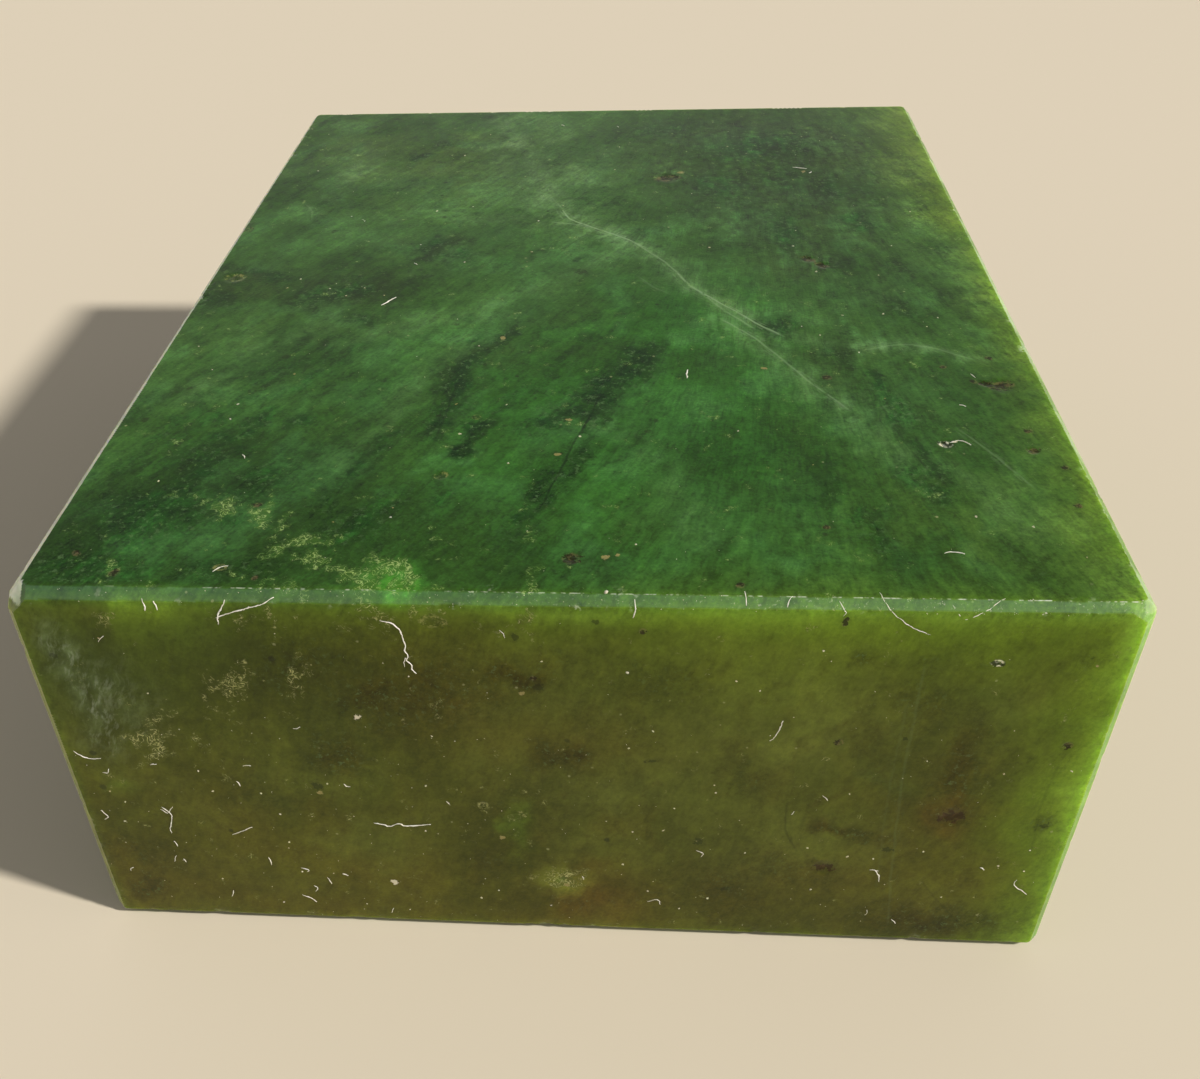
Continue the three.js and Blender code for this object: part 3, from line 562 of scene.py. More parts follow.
# --- front
fx, fz = X + wisp[:, 0] * 1.2 + warp[:, 0] * .3, Z + wisp[:, 2] * 1.2 + warp[:, 2] * .3
fdark = np.zeros(len(V))
for cx, cz, rx, rz, turn, s in FRONT_DARK:
    fdark = np.maximum(fdark, s * blob(fx, fz, cx, cz, rx, rz, turn))
fgreen = np.zeros(len(V))
for cx, cz, rx, rz, turn, s in FRONT_GREEN:
    fgreen = np.maximum(fgreen, s * blob(fx, fz, cx, cz, rx, rz, turn))
for cx, cz, rx, rz, turn, s in LACE_FRONT:
    lace = np.maximum(lace, s * blob(X + wisp[:, 0] * .4, Z + wisp[:, 2] * .4, cx, cz, rx, rz, turn) * (D6[:, FRONT] < 1.2))
snow = np.zeros(len(V))
for cx, cz, rx, rz, turn, s in SNOW_FRONT:
    snow = np.maximum(snow, s * blob(X + wisp[:, 0] * .6, Z + wisp[:, 2] * .6, cx, cz, rx, rz, turn) * (D6[:, FRONT] < 1.2))
# Painted glow on the front: yellow-green light painted in near the right edge and in a patchy band under the top edge,
# where sunlight would come through the stone.
glow_front = np.exp(-((np.maximum(edge_r - .6, 0) / (5.6 + 1.8 * smooth(26, 42, Z))) ** 1.5)) * (1 - .3 * smooth(14, 2, Z))
glow_front_bright = np.exp(-((np.maximum(edge_r - .9, 0) / 2.4) ** 1.3)) * (1 - .2 * smooth(14, 2, Z))
under_top = D6[:, TOP] - .95 + fbm(V, 8, 3, 87) * 1.6
gt = np.exp(-((np.maximum(under_top, 0) / (3.4 + 2.8 * smooth(12, 34, X))) ** 1.15))
gt = np.maximum(gt, .45 * np.exp(-((np.maximum(under_top, 0) / 9) ** 2)) * smooth(-12, 10, X))
wx = X + 1.2 * wisp[:, 0]
patchy = .12 + .52 * smooth(-41.5, -39.5, wx) * smooth(-32.5, -36, wx) + .24 * smooth(-36, -32, wx) * smooth(-4, -9, wx) + .8 * smooth(-10, -3, wx)
glow_front = np.maximum(glow_front, gt * patchy)
glow_front_bright = np.maximum(glow_front_bright, np.exp(-((np.maximum(under_top, 0) / 1.5) ** 1.2)) * patchy * .85)
glow_front_bright = np.maximum(glow_front_bright, .8 * blob(wx, Z, 1, 45.5, 7, 1.3, 0))

# The front's olive-brown palette, against the greener top, is the same stone with painted shade and a painted warm
# reflection.
FRONT_SHADED_MID, FRONT_GREENC, FRONT_BROWN = srgb(76, 82, 24), srgb(73, 90, 42), srgb(52, 46, 5)
FRONT_SHADE = srgb(56, 70, 20)
FRONT_WARM, FRONT_LIFT, GLOW_F, GLOW_B = srgb(90, 86, 27), srgb(89, 98, 45), srgb(103, 133, 26), srgb(126, 160, 66)
front_c = np.tile(FRONT_SHADED_MID, (len(V), 1))
front_c = mix(front_c, FRONT_WARM, .9 * smooth(30, 3, Z) * smooth(-1.8, .8, cloud))
front_c = mix(front_c, FRONT_GREENC, np.maximum(fgreen * 1.3, .3 * smooth(.2, 2, cloud)))
front_c = mix(front_c, FRONT_LIFT, np.clip(.9 * blob(fx, fz, 20, 36, 24, 12, 0) + 1.0 * blob(fx, fz, 2, 28, 13, 12, 0) + .7 * blob(fx, fz, 19, 14, 9, 6, 0) + .22 * smooth(.2, 2, puff), 0, .95))
front_c = mix(front_c, srgb(94, 94, 36), .6 * blob(fx, fz, -3, 29, 12, 3.6, 0) + .6 * blob(fx, fz, 5, 17.5, 3.4, 2.4, 20) + .4 * blob(fx, fz, 28, 9, 5, 3, 0) + .35 * blob(fx, fz, -34, 10, 8, 4, 0) + .5 * blob(fx, fz, 20, 7, 9, 4, 0) + .2 * veils)
fdk = np.clip(np.maximum(fdark * 1.6, .3 * wisps), 0, 1)
frag = np.clip(1 + .2 * streak + .2 * crumb + .12 * ripple, .2, 1.8)
front_c = mix(front_c, FRONT_BROWN, np.clip(fdk * frag, 0, .95))
front_c = mix(front_c, FRONT_SHADE, .7 * blob(fx, fz, -38, 37, 16, 9, 20) + .5 * blob(fx, fz, -46, 40, 5, 8, 0) + .25 * blob(fx, fz, -20, 26, 12, 10, 0))
front_c = mix(front_c, srgb(84, 62, 16), np.clip(.6 * blob(fx, fz, 2.2, 6, 3.6, 4.2, 0) + .5 * blob(fx, fz, 37, 21, 3.2, 3, 0) + .1 * blob(fx, fz, -12, 34, 5, 5, 0), 0, .8))
front_c = mix(front_c, srgb(92, 116, 40), np.clip(.75 * blob(fx, fz, -5.4, 16.5, 1.1, 3.4, 0) + .4 * blob(fx, fz, -45, 21.5, 1.4, 1.4, 0), 0, .8))
front_c = mix(front_c, srgb(120, 130, 56), np.clip(.85 * blob(X, Z, -1.0, 8.6, 2.3, 1.9, 0) * (1 + .3 * crumb), 0, .8))
# Painted glow, weaker over the dark patches.
front_c = mix(front_c, GLOW_F, glow_front * (1 - .4 * np.clip(fdark * 1.6, 0, 1)))
front_c = mix(front_c, GLOW_B, glow_front_bright * (.9 - .4 * np.clip(fdark * 1.6, 0, 1)))
front_c = mix(front_c, srgb(104, 122, 104), np.clip(snow * (.6 + .2 * ripple + .2 * crumb), 0, .8))
quiet = (1 - .5 * np.clip(glow_front, 0, 1)) * (.55 + .7 * smooth(.05, .6, fdk))
front_c *= np.exp((.05 * puff + .075 * cloud + quiet * (.09 * streak + .065 * ripple + .08 * crumb + .04 * hair))[:, None] * np.array([1.0, 1.0, 1.2]))
# The lowered blue is part of the painted warm reflection.
front_c *= np.stack([1 + .005 * hue, np.ones(len(V)), 1 + .02 * hue], 1) * np.array([1.05, 1.04, .63])

# --- the faces out of the camera's sight
# Painted glow near the edges of these faces, as if light came through the stone.
edge_any = np.sort(D6, axis=1)[:, 1] + fbm(V, 7, 3, 91) * 3.0
glow_rest = .8 * np.exp(-((np.maximum(edge_any, 0) / 4.0) ** 1.3))
rest_c = mix(np.tile(srgb(66, 88, 30), (len(V), 1)), srgb(72, 106, 44), .6 * smooth(-.2, 2.0, puff))
rest_c = mix(rest_c, srgb(78, 84, 28), .6 * smooth(-.6, 1.6, cloud))
rest_c = mix(rest_c, srgb(36, 56, 18), .45 * wisps)
rest_c = mix(rest_c, srgb(36, 56, 18), .6 * smooth(1.1, 2.6, unit(fbm(W + wisp * .5, 13, 2, 94))))
pale_line = np.exp(-((unit(fbm(W + wisp * .4, 21, 3, 95)) / .07) ** 2)) * smooth(.2, 1.2, unit(fbm(V, 24, 2, 96)))
rest_c = mix(rest_c, srgb(96, 124, 76), .4 * pale_line + .2 * veils)
rest_c = mix(rest_c, srgb(96, 122, 34), glow_rest)
rest_c *= np.exp(.05 * puff + .06 * streak + .04 * ripple + .03 * crumb)[:, None]
lace = np.maximum(lace, w_rest * .8 * smooth(1.7, 2.6, unit(fbm(W, 9, 3, 97))))

tone = top_c * w_top[:, None] + front_c * w_front[:, None] + rest_c * w_rest[:, None]
lace_mask = np.clip(lace, 0, 1.2)
upright = on_bevel * np.exp(-((D6[:, FRONT] / 1.2) ** 2)) * np.exp(-((D6[:, LEFT] / 1.2) ** 2)) * smooth(.8, 1.8, D6[:, TOP])
tone = mix(np.clip(tone, .001, 1), srgb(138, 130, 72), 1.3 * upright)

# Frosted ground bevels: pale, whitest along the left top edge, where the near-white is frost and a painted highlight.
front_top = on_bevel * np.exp(-((D6[:, FRONT] / 1.3) ** 2)) * np.exp(-((D6[:, TOP] / 1.3) ** 2))
frost = on_bevel * np.clip(.42 + .10 * puff, 0, 1)
frost = np.where(front_top > .2, on_bevel * (.44 + .16 * smooth(-12, 40, X)), frost)
right_top = on_bevel * (D6[:, RIGHT] < 1.2) * (D6[:, TOP] < 1.2)
left_top = on_bevel * (D6[:, LEFT] < 1.75) * (D6[:, TOP] < 1.75) * smooth(-66.5, -63.6, Y)
frost = np.maximum(frost, left_top)
chip_white = np.clip(near_edge * chips * .9 + big * 1.2, 0, 1) * busy
# The upper arris of the front bevel carries a thin crushed line; the lower one is soft.
murky = np.clip(dk * w_top + .8 * fdk * w_front + .35 * wisps * w_rest + .25 * grey_brown * w_top, 0, 1)
arris_w = np.where(front_top + (D6[:, FRONT] < 1.2) * (D6[:, TOP] < 1.5) > .4, smooth(.55, .2, D6[:, TOP]) * (.45 + .4 * smooth(10, 45, X)) * smooth(-44, -34, X), .32 * busy)

# ------------------------------------------------------------------ Blender mesh
mesh = bpy.data.meshes.new("jade_stone")
mesh.vertices.add(len(V2))
mesh.vertices.foreach_set("co", (V2 / 1000).astype(np.float32).ravel())
mesh.loops.add(len(tris) * 3)
mesh.loops.foreach_set("vertex_index", tris.astype(np.int32).ravel())
mesh.polygons.add(len(tris))
mesh.polygons.foreach_set("loop_start", np.arange(0, len(tris) * 3, 3, dtype=np.int32))
mesh.polygons.foreach_set("use_smooth", np.ones(len(tris), bool))
mesh.update(calc_edges=True)
mesh.validate()
assert len(mesh.polygons) == len(tris)
mesh.set_sharp_from_angle(angle=math.radians(21))


def point_float(name, values):
    mesh.attributes.new(name, "FLOAT", "POINT").data.foreach_set("value", np.ascontiguousarray(values, np.float32))


def point_colour(name, rgb):
    data = np.concatenate([rgb, np.ones((len(rgb), 1))], 1)
    mesh.attributes.new(name, "FLOAT_COLOR", "POINT").data.foreach_set("color", data.astype(np.float32).ravel())


point_colour("tone", tone)
point_float("lace", lace_mask)
point_float("snow", snow)
point_float("frost", np.clip(frost, 0, 1))
point_float("frost_and_highlight", np.clip(np.maximum(left_top * on_bevel, .2 * right_top * smooth(-.6, 1.2, puff)), 0, 1))
point_float("arris", np.clip(arris, 0, 3))
point_float("chip", chip_white)
point_float("frontedge", front_top)
point_float("arris_w", arris_w)
point_float("murky", murky)
point_float("onfront", w_front * (1 - on_bevel * .6))
mesh.attributes.new("flow", "FLOAT_VECTOR", "POINT").data.foreach_set("vector", flow(V + wisp * .25).astype(np.float32).ravel())
point_float("sink", np.clip(sink, 0, 1))
point_float("right", np.clip((X + 50) / 100, 0, 1))

# Marks: each triangle carries its own mark's local place, so outlines stay crisp.
rng = np.random.default_rng(20260)
MARK = {  # kind: centre colour, rim colour, strength, halo
    "w": (srgb(215, 210, 190), srgb(215, 210, 190), .95, 0), "t": (srgb(150, 140, 90), srgb(175, 165, 110), .85, 0),
    "b": (srgb(38, 32, 16), srgb(128, 116, 76), .85, .4), "r": (srgb(40, 48, 16), srgb(150, 150, 90), .35, .2),
    "c": (srgb(52, 34, 14), srgb(84, 56, 28), .8, .45),
    # p: the near-white rim is a painted highlight on the pit's lit edge.
    "p": (srgb(34, 42, 20), srgb(236, 236, 215), .8, .1), "h": (srgb(30, 38, 12), srgb(44, 58, 22), .55, .3),
}
marks = [(TOP, *m) for m in TOP_SPOTS] + [(FRONT, *m) for m in FRONT_SPOTS]
marks += [(TOP, x, y, rng.uniform(.08, .15), rng.uniform(.4, 1), rng.uniform(0, 180), "w" if rng.random() < .7 else "t") for x, y in TOP_FLECKS]
marks += [(FRONT, x, z, rng.uniform(.07, .14), rng.uniform(.4, 1), rng.uniform(0, 180), "w" if rng.random() < .7 else "t") for x, z in FRONT_FLECKS]
for f, (a, b), many in ((LEFT, (1, 2), 60), (RIGHT, (1, 2), 60), (BACK, (0, 2), 46), (BASE, (0, 1), 60)):
    for _ in range(many):
        k = rng.choice(list("wtbrh"), p=[.42, .2, .14, .06, .18])
        r = rng.uniform(.12, .24) if k in "wt" else rng.uniform(.3, .55) if rng.random() < .75 else rng.uniform(.7, 1.4)
        marks.append((f, rng.uniform(LO[a] + 2, HI[a] - 2), rng.uniform(LO[b] + 2, HI[b] - 2), r, rng.uniform(.5, 1), rng.uniform(0, 180), str(k)))
cen = V2[tris].mean(1)
best = np.full(len(tris), np.inf)
own = np.full(len(tris), -1)
AX = {TOP: (0, 1), BASE: (0, 1), FRONT: (0, 2), BACK: (0, 2), LEFT: (1, 2), RIGHT: (1, 2)}
for i, (f, x, o, r, sq, turn, k) in enumerate(marks):
    a, b = AX[f]
    c, s = math.cos(math.radians(turn)), math.sin(math.radians(turn))
    dx, dy = cen[:, a] - x, cen[:, b] - o
    u, v = (dx * c + dy * s) / r, (-dx * s + dy * c) / (r * sq)
    d = np.where(tface == f, u * u + v * v, np.inf)
    hit = d < best
    best[hit], own[hit] = d[hit], i
local = np.zeros((len(tris), 3, 3))
rgba_in = np.zeros((len(tris), 3, 4))
rgba_rim = np.zeros((len(tris), 3, 4))
for i, (f, x, o, r, sq, turn, k) in enumerate(marks):
    sel = np.nonzero((own == i) & (best < 160))[0]
    a, b = AX[f]
    c, s = math.cos(math.radians(turn)), math.sin(math.radians(turn))
    q = V2[tris[sel]]
    dx, dy = q[..., a] - x, q[..., b] - o
    local[sel, :, 0] = (dx * c + dy * s) / r
    local[sel, :, 1] = (-dx * s + dy * c) / (r * sq)
    inside, rim, strength, halo = MARK[k]
    local[sel, :, 2] = halo
    rgba_in[sel] = [*inside, strength]
    rgba_rim[sel] = [*rim, 1.0 if k == "p" else .7 if k == "r" else .5 if k == "b" else .15 if k == "c" else 0.0]
# Thin lines: each triangle carries its signed distance from the nearest one's nearest stretch.
LINES = [(TOP, p, .30 * s, s) for p, w, s in VEIN_SHARP] + THIN_LINES
segs = []
for f, p, w, s in LINES:
    p = curve_points(p, 1.4)
    run = 0.0
    for i in range(len(p) - 1):
        segs.append((f, p[i], p[i + 1], w, s, run, i == 0, i == len(p) - 2))
        run += float(np.hypot(*(p[i + 1] - p[i])))
lbest = np.full(len(tris), 6.0)
lown = np.full(len(tris), -1)
for i, (f, p0, p1, w, s, run, first, last) in enumerate(segs):
    a, b = AX[f]
    d = p1 - p0
    t = np.clip(((cen[:, a] - p0[0]) * d[0] + (cen[:, b] - p0[1]) * d[1]) / (d @ d), 0, 1)
    dist = np.where(tface == f, np.hypot(cen[:, a] - p0[0] - t * d[0], cen[:, b] - p0[1] - t * d[1]), np.inf)
    hit = dist < lbest
    lbest[hit], lown[hit] = dist[hit], i
lines = np.zeros((len(tris), 3, 3))
lines[:, :, 0] = 9
for i, (f, p0, p1, w, s, run, first, last) in enumerate(segs):
    sel = np.nonzero(lown == i)[0]
    if not len(sel):
        continue
    a, b = AX[f]
    d = (p1 - p0) / np.hypot(*(p1 - p0))
    q = V2[tris[sel]]
    dx, dy = q[..., a] - p0[0], q[..., b] - p0[1]
    t = dx * d[0] + dy * d[1]
    long = float(np.hypot(*(p1 - p0)))
    over = np.maximum(np.where(first, -t, 0), np.where(last, t - long, 0))
    lines[sel, :, 0] = (dx * -d[1] + dy * d[0])
    lines[sel, :, 1] = run + t + i * 3.7
    lines[sel, :, 2] = s * np.clip(1 - over / 1.2, 0, 1) * min(1, w / .14)
mesh.attributes.new("line", "FLOAT_VECTOR", "CORNER").data.foreach_set("vector", lines.astype(np.float32).ravel())

far = (own < 0) | (best >= 160)
local[far, :, 0] = 50
mesh.attributes.new("mark", "FLOAT_VECTOR", "CORNER").data.foreach_set("vector", local.astype(np.float32).ravel())
mesh.attributes.new("mark_in", "FLOAT_COLOR", "CORNER").data.foreach_set("color", rgba_in.astype(np.float32).ravel())
mesh.attributes.new("mark_rim", "FLOAT_COLOR", "CORNER").data.foreach_set("color", rgba_rim.astype(np.float32).ravel())

# A flat layout of the six box faces, with most of the room for the top and the front.
uv = np.zeros((len(tris), 3, 2))
PX = 1024.0
LAYOUT = {  # face: (axis across, axis up, pixels per mm, left, bottom)
    TOP: (0, 1, 5.45, 6, 282), FRONT: (0, 2, 5.45, 6, 8), LEFT: (1, 2, 3.4, 562, 852), RIGHT: (1, 2, 3.4, 562, 680),
    BACK: (0, 2, 3.4, 562, 508), BASE: (0, 1, 3.4, 562, 40),
}
for f, (a, b, s, x0, y0) in LAYOUT.items():
    sel = tface == f
    q = V2[tris[sel]]
    uv[sel, :, 0] = (x0 + (q[..., a] - LO[a]) * s) / PX
    uv[sel, :, 1] = (y0 + (q[..., b] - LO[b]) * s) / PX
layer = mesh.uv_layers.new(name="OFBake")
layer.uv.foreach_set("vector", uv.astype(np.float32).ravel())

stone = bpy.data.objects.new("jade_stone", mesh)
scene.collection.objects.link(stone)


# ------------------------------------------------------------------ materials
class Nodes:
    """Short names for building a node tree."""

    def __init__(self, name):
        self.mat = bpy.data.materials.new(name)
        self.mat.use_nodes = True
        self.tree = self.mat.node_tree
        self.shader = self.tree.nodes["Principled BSDF"]

    def put(self, socket, value):
        if isinstance(value, bpy.types.NodeSocket):
            self.tree.links.new(value, socket)
        elif value is not None:
            socket.default_value = value

    def math(self, op, a, b=None, c=None, clamp=False):
        n = self.tree.nodes.new("ShaderNodeMath")
        n.operation, n.use_clamp = op, clamp
        for s, v in zip(n.inputs, (a, b, c)):
            self.put(s, v)
        return n.outputs[0]

    def step(self, lo, hi, x, out0=0.0, out1=1.0):
        n = self.tree.nodes.new("ShaderNodeMapRange")
        n.interpolation_type = "SMOOTHSTEP"
        for name, v in (("Value", x), ("From Min", lo), ("From Max", hi), ("To Min", out0), ("To Max", out1)):
            self.put(n.inputs[name], v)
        return n.outputs[0]

    def mix(self, t, a, b, blend="MIX"):
        n = self.tree.nodes.new("ShaderNodeMix")
        n.data_type, n.blend_type, n.clamp_factor = "RGBA", blend, True
        self.put(n.inputs[0], t)
        self.put(n.inputs[6], (*a, 1) if isinstance(a, (tuple, np.ndarray)) and len(a) == 3 else a)
        self.put(n.inputs[7], (*b, 1) if isinstance(b, (tuple, np.ndarray)) and len(b) == 3 else b)
        return n.outputs[2]

    def attr(self, name):
        n = self.tree.nodes.new("ShaderNodeAttribute")
        n.attribute_name = name
        return n

    def fac(self, name):
        return self.attr(name).outputs["Fac"]

    def coords(self, scale=(1, 1, 1), turn=(0, 0, 0)):
        c = self.tree.nodes.new("ShaderNodeTexCoord")
        m = self.tree.nodes.new("ShaderNodeMapping")
        m.inputs["Scale"].default_value = scale
        m.inputs["Rotation"].default_value = turn
        self.tree.links.new(c.outputs["Object"], m.inputs["Vector"])
        return m.outputs[0]

    def noise(self, vec, scale, detail=2, rough=.5, distort=0.0):
        n = self.tree.nodes.new("ShaderNodeTexNoise")
        n.noise_dimensions = "3D"
        self.put(n.inputs["Vector"], vec)
        n.inputs["Scale"].default_value = scale
        n.inputs["Detail"].default_value = detail
        n.inputs["Roughness"].default_value = rough
        n.inputs["Distortion"].default_value = distort
        return n.outputs["Fac"]

    def cells(self, vec, scale, feature="F1", random=1.0):
        n = self.tree.nodes.new("ShaderNodeTexVoronoi")
        n.feature = feature
        self.put(n.inputs["Vector"], vec)
        n.inputs["Scale"].default_value = scale
        n.inputs["Randomness"].default_value = random
        return n


def jade():
    n = Nodes("jade")
    m = n.math
    plain = n.coords()
    flow_at = n.attr("flow").outputs["Vector"]

    tone_c = n.attr("tone").outputs["Color"]
    # Fibre and grain below the mesh's own detail.
    grain = n.noise(flow_at, 2.0, 3, .65)
    mottle = n.noise(plain, 900, 3, .62)
    murky = n.fac("murky")
    fine = n.noise(plain, 2900, 2, .65)
    vary = m("ADD", m("MULTIPLY", m("SUBTRACT", grain, .5), 1.3), m("MULTIPLY", m("SUBTRACT", mottle, .5), 1.35))
    vary = m("ADD", vary, m("MULTIPLY", m("SUBTRACT", fine, .5), 1.35))
    vary = m("MULTIPLY", vary, m("SUBTRACT", m("ADD", m("MULTIPLY", murky, .5), .8), m("MULTIPLY", n.fac("onfront"), .4)))
    bright = n.tree.nodes.new("ShaderNodeVectorMath")
    bright.operation = "SCALE"
    n.put(bright.inputs[0], tone_c)
    n.put(bright.inputs["Scale"], m("ADD", vary, 1.0))
    colour = bright.outputs[0]

    # Lacy mineral patches: ragged pale threads on yellow-green.
    curl = n.noise(plain, 1500, 3, .72)
    looped = n.noise(plain, 1250, 1.6, .55, 1.7)
    thread = n.step(.040, .006, m("ABSOLUTE", m("SUBTRACT", looped, .5)))
    flecks = m("MULTIPLY", n.step(.54, .66, curl), n.step(.12, .7, murky))
    colour = n.mix(m("MULTIPLY", flecks, .46), colour, srgb(100, 132, 82))
    sooty = m("MULTIPLY", n.step(.45, .33, curl), n.step(.08, .6, murky))
    colour = n.mix(m("MULTIPLY", sooty, .42), colour, srgb(20, 46, 14))
    lace_a = n.fac("lace")
    lace_m = n.step(.35, .85, m("ADD", lace_a, m("MULTIPLY", m("SUBTRACT", n.noise(plain, 520, 3, .7), .5), 3.2)))
    colour = n.mix(m("MULTIPLY", lace_m, .58), colour, n.mix(n.step(.85, 1.1, lace_a), n.mix(n.fac("onfront"), srgb(74, 110, 38), srgb(82, 90, 36)), srgb(84, 156, 60)))
    colour = n.mix(m("MULTIPLY", m("MULTIPLY", thread, lace_m), .88), colour, n.mix(n.fac("onfront"), srgb(168, 192, 122), srgb(178, 178, 122)))

    # Thin pale fibres and dark healed cracks: a fine core and looser fibres beside it.
    at = n.tree.nodes.new("ShaderNodeSeparateXYZ")
    n.put(at.inputs[0], n.attr("line").outputs["Vector"])
    bend = m("MULTIPLY", m("SUBTRACT", n.noise(plain, 260, 2, .5), .5), .5)
    bent = m("ADD", at.outputs[0], bend)
    beside = n.tree.nodes.new("ShaderNodeCombineXYZ")
    n.put(beside.inputs[0], m("MULTIPLY", bent, 2.6))
    n.put(beside.inputs[1], m("MULTIPLY", at.outputs[1], .3))
    strands = n.noise(beside.outputs[0], 1.0, 3, .6)
    off = m("ABSOLUTE", bent)
    core_l = m("MULTIPLY", n.step(.24, .02, off), n.step(.28, .50, strands))
    loose = m("MULTIPLY", n.step(1.5, .1, off), n.step(.50, .68, strands))
    power = m("MULTIPLY", m("MAXIMUM", core_l, m("MULTIPLY", loose, .6)), m("ABSOLUTE", at.outputs[2]))
    colour = n.mix(m("MULTIPLY", power, .8), colour, n.mix(n.step(-.01, .01, at.outputs[2]), srgb(14, 30, 10), srgb(138, 168, 124)))

    # Snowy fibres on the front left.
    snow_m = m("MULTIPLY", n.fac("snow"), n.step(.45, .72, grain))
    colour = n.mix(m("MULTIPLY", snow_m, .55), colour, srgb(170, 180, 165))

    # Tiny pale and dark specks everywhere.
    pale = n.cells(plain, 420)
    pick = n.tree.nodes.new("ShaderNodeSeparateColor")
    n.put(pick.inputs[0], pale.outputs["Color"])
    speck = m("MULTIPLY", n.step(.085, .04, m("ADD", pale.outputs["Distance"], m("MULTIPLY", m("SUBTRACT", curl, .5), .12))), n.step(.80, .84, pick.outputs[0]))
    colour = n.mix(m("MULTIPLY", speck, m("MULTIPLY", pick.outputs[1], .75)), colour, srgb(170, 172, 130))
    darks = n.cells(plain, 260)
    pick2 = n.tree.nodes.new("ShaderNodeSeparateColor")
    n.put(pick2.inputs[0], darks.outputs["Color"])
    dot = m("MULTIPLY", n.step(.11, .04, m("ADD", darks.outputs["Distance"], m("MULTIPLY", m("SUBTRACT", mottle, .5), .15))), n.step(.86, .90, pick2.outputs[0]))
    colour = n.mix(m("MULTIPLY", dot, .6), colour, srgb(28, 34, 18))

    # Listed marks: inclusions, rings and flecks.
    mark = n.tree.nodes.new("ShaderNodeSeparateXYZ")
    n.put(mark.inputs[0], n.attr("mark").outputs["Vector"])
    away = m("SQRT", m("ADD", m("MULTIPLY", mark.outputs[0], mark.outputs[0]), m("MULTIPLY", mark.outputs[1], mark.outputs[1])))
    ragged = n.noise(plain, 1900, 2, .7)
    rough_away = m("ADD", m("MULTIPLY", m("SUBTRACT", away, 1.0), .24), ragged)
    inside_n, rim_n = n.attr("mark_in"), n.attr("mark_rim")
    halo = m("MULTIPLY", n.step(2.6, .6, away), mark.outputs[2])
    colour = n.mix(m("MULTIPLY", halo, .55), colour, srgb(34, 46, 20))
    core = m("MULTIPLY", n.step(.53, .45, rough_away), n.step(2.4, 1.4, away))
    fill = n.mix(m("MULTIPLY", n.step(.50, .62, curl), .55), inside_n.outputs["Color"], rim_n.outputs["Color"])
    colour = n.mix(m("MULTIPLY", core, inside_n.outputs["Alpha"]), colour, fill)
    wavy = m("ADD", away, m("MULTIPLY", m("SUBTRACT", ragged, .5), 1.2))
    ring = m("MULTIPLY", m("MULTIPLY", n.step(1.40, 1.18, wavy), n.step(.70, .95, wavy)), n.step(.46, .60, m("ADD", m("MULTIPLY", ragged, .5), m("MULTIPLY", curl, .5))))
    colour = n.mix(m("MULTIPLY", ring, rim_n.outputs["Alpha"]), colour, rim_n.outputs["Color"])

    # Ground bevels are frosted, the left top one also with a painted highlight; arrises and chips are crushed white.
    frost_a = n.fac("frost")
    colour = n.mix(m("MULTIPLY", frost_a, .32), colour, srgb(152, 194, 172))
    ground = n.step(.25, .6, n.noise(plain, 340, 3, .7))
    colour = n.mix(m("MULTIPLY", n.fac("frost_and_highlight"), m("ADD", m("MULTIPLY", ground, .45), .54)), colour, srgb(240, 241, 232))
    a = n.fac("arris")
    crush_noise = n.noise(plain, 1100, 2, .7)
    line = m("MULTIPLY", n.step(.085, .02, a), n.step(.48, .62, crush_noise))
    colour = n.mix(m("MULTIPLY", line, n.fac("arris_w")), colour, srgb(222, 230, 215))
    chip_m = m("MULTIPLY", n.fac("chip"), n.step(.50, .62, crush_noise))
    colour = n.mix(m("MULTIPLY", chip_m, .6), colour, srgb(196, 206, 186))
    dust = m("MULTIPLY", m("MULTIPLY", n.fac("frontedge"), n.step(.60, .76, n.noise(plain, 3400, 2, .7))), n.step(-.1, 1.0, n.fac("right")))
    colour = n.mix(m("MULTIPLY", dust, .7), colour, srgb(214, 222, 200))

    n.put(n.shader.inputs["Base Color"], colour)
    rough = m("ADD", m("MULTIPLY", n.noise(plain, 70, 2, .6), .16), .27)
    rough = m("ADD", rough, m("MULTIPLY", m("SUBTRACT", mottle, .5), .12))
    rough = m("ADD", rough, m("MULTIPLY", m("ADD", frost_a, n.fac("chip")), .26), clamp=True)
    n.put(n.shader.inputs["Roughness"], rough)

    bump = n.tree.nodes.new("ShaderNodeBump")
    bump.inputs["Strength"].default_value = .55
    bump.inputs["Distance"].default_value = .00003
    height = m("MULTIPLY", fine, .8)
    height = m("ADD", height, m("MULTIPLY", crush_noise, m("MULTIPLY", frost_a, 2.5)))
    n.put(bump.inputs["Height"], height)
    n.put(n.shader.inputs["Normal"], bump.outputs[0])

    s = n.shader.inputs
    s["Subsurface Weight"].default_value = 1.0
    s["Subsurface Radius"].default_value = (.75, 1.0, .35)
    s["Subsurface Scale"].default_value = .0045
    s["Specular IOR Level"].default_value = .17
    s["IOR"].default_value = 1.5
    return n.mat


stone.data.materials.append(jade())
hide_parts("jade_block")
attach(stone, "root")

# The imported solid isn't shown, but wears the same stone.
node.data.materials.clear()
node.data.materials.append(stone.data.materials[0])


# ------------------------------------------------------------------ lint and dust
def on_top(x, y):
    return (MK[TOP] - MN[TOP][0] * x - MN[TOP][1] * y) / MN[TOP][2]


def on_front(x, z):
    return (MK[FRONT] - MN[FRONT][0] * x - MN[FRONT][2] * z) / MN[FRONT][1]


def seat(face, a, b, r):
    """A point on the top or the front, raised by about its radius but inside the block's box."""
    if face == TOP:
        z = on_top(a, b)
        return np.array([a, b, min(z + r * .55, HI[2] - r - .002)])
    y = on_front(a, b)
    z_limit = on_top(a, LO[1]) - .9
    inset = max(0.0, b - z_limit)  # over the front top bevel it follows the slope
    return np.array([a, max(y + inset - r * .55, LO[1] + r + .002), b])


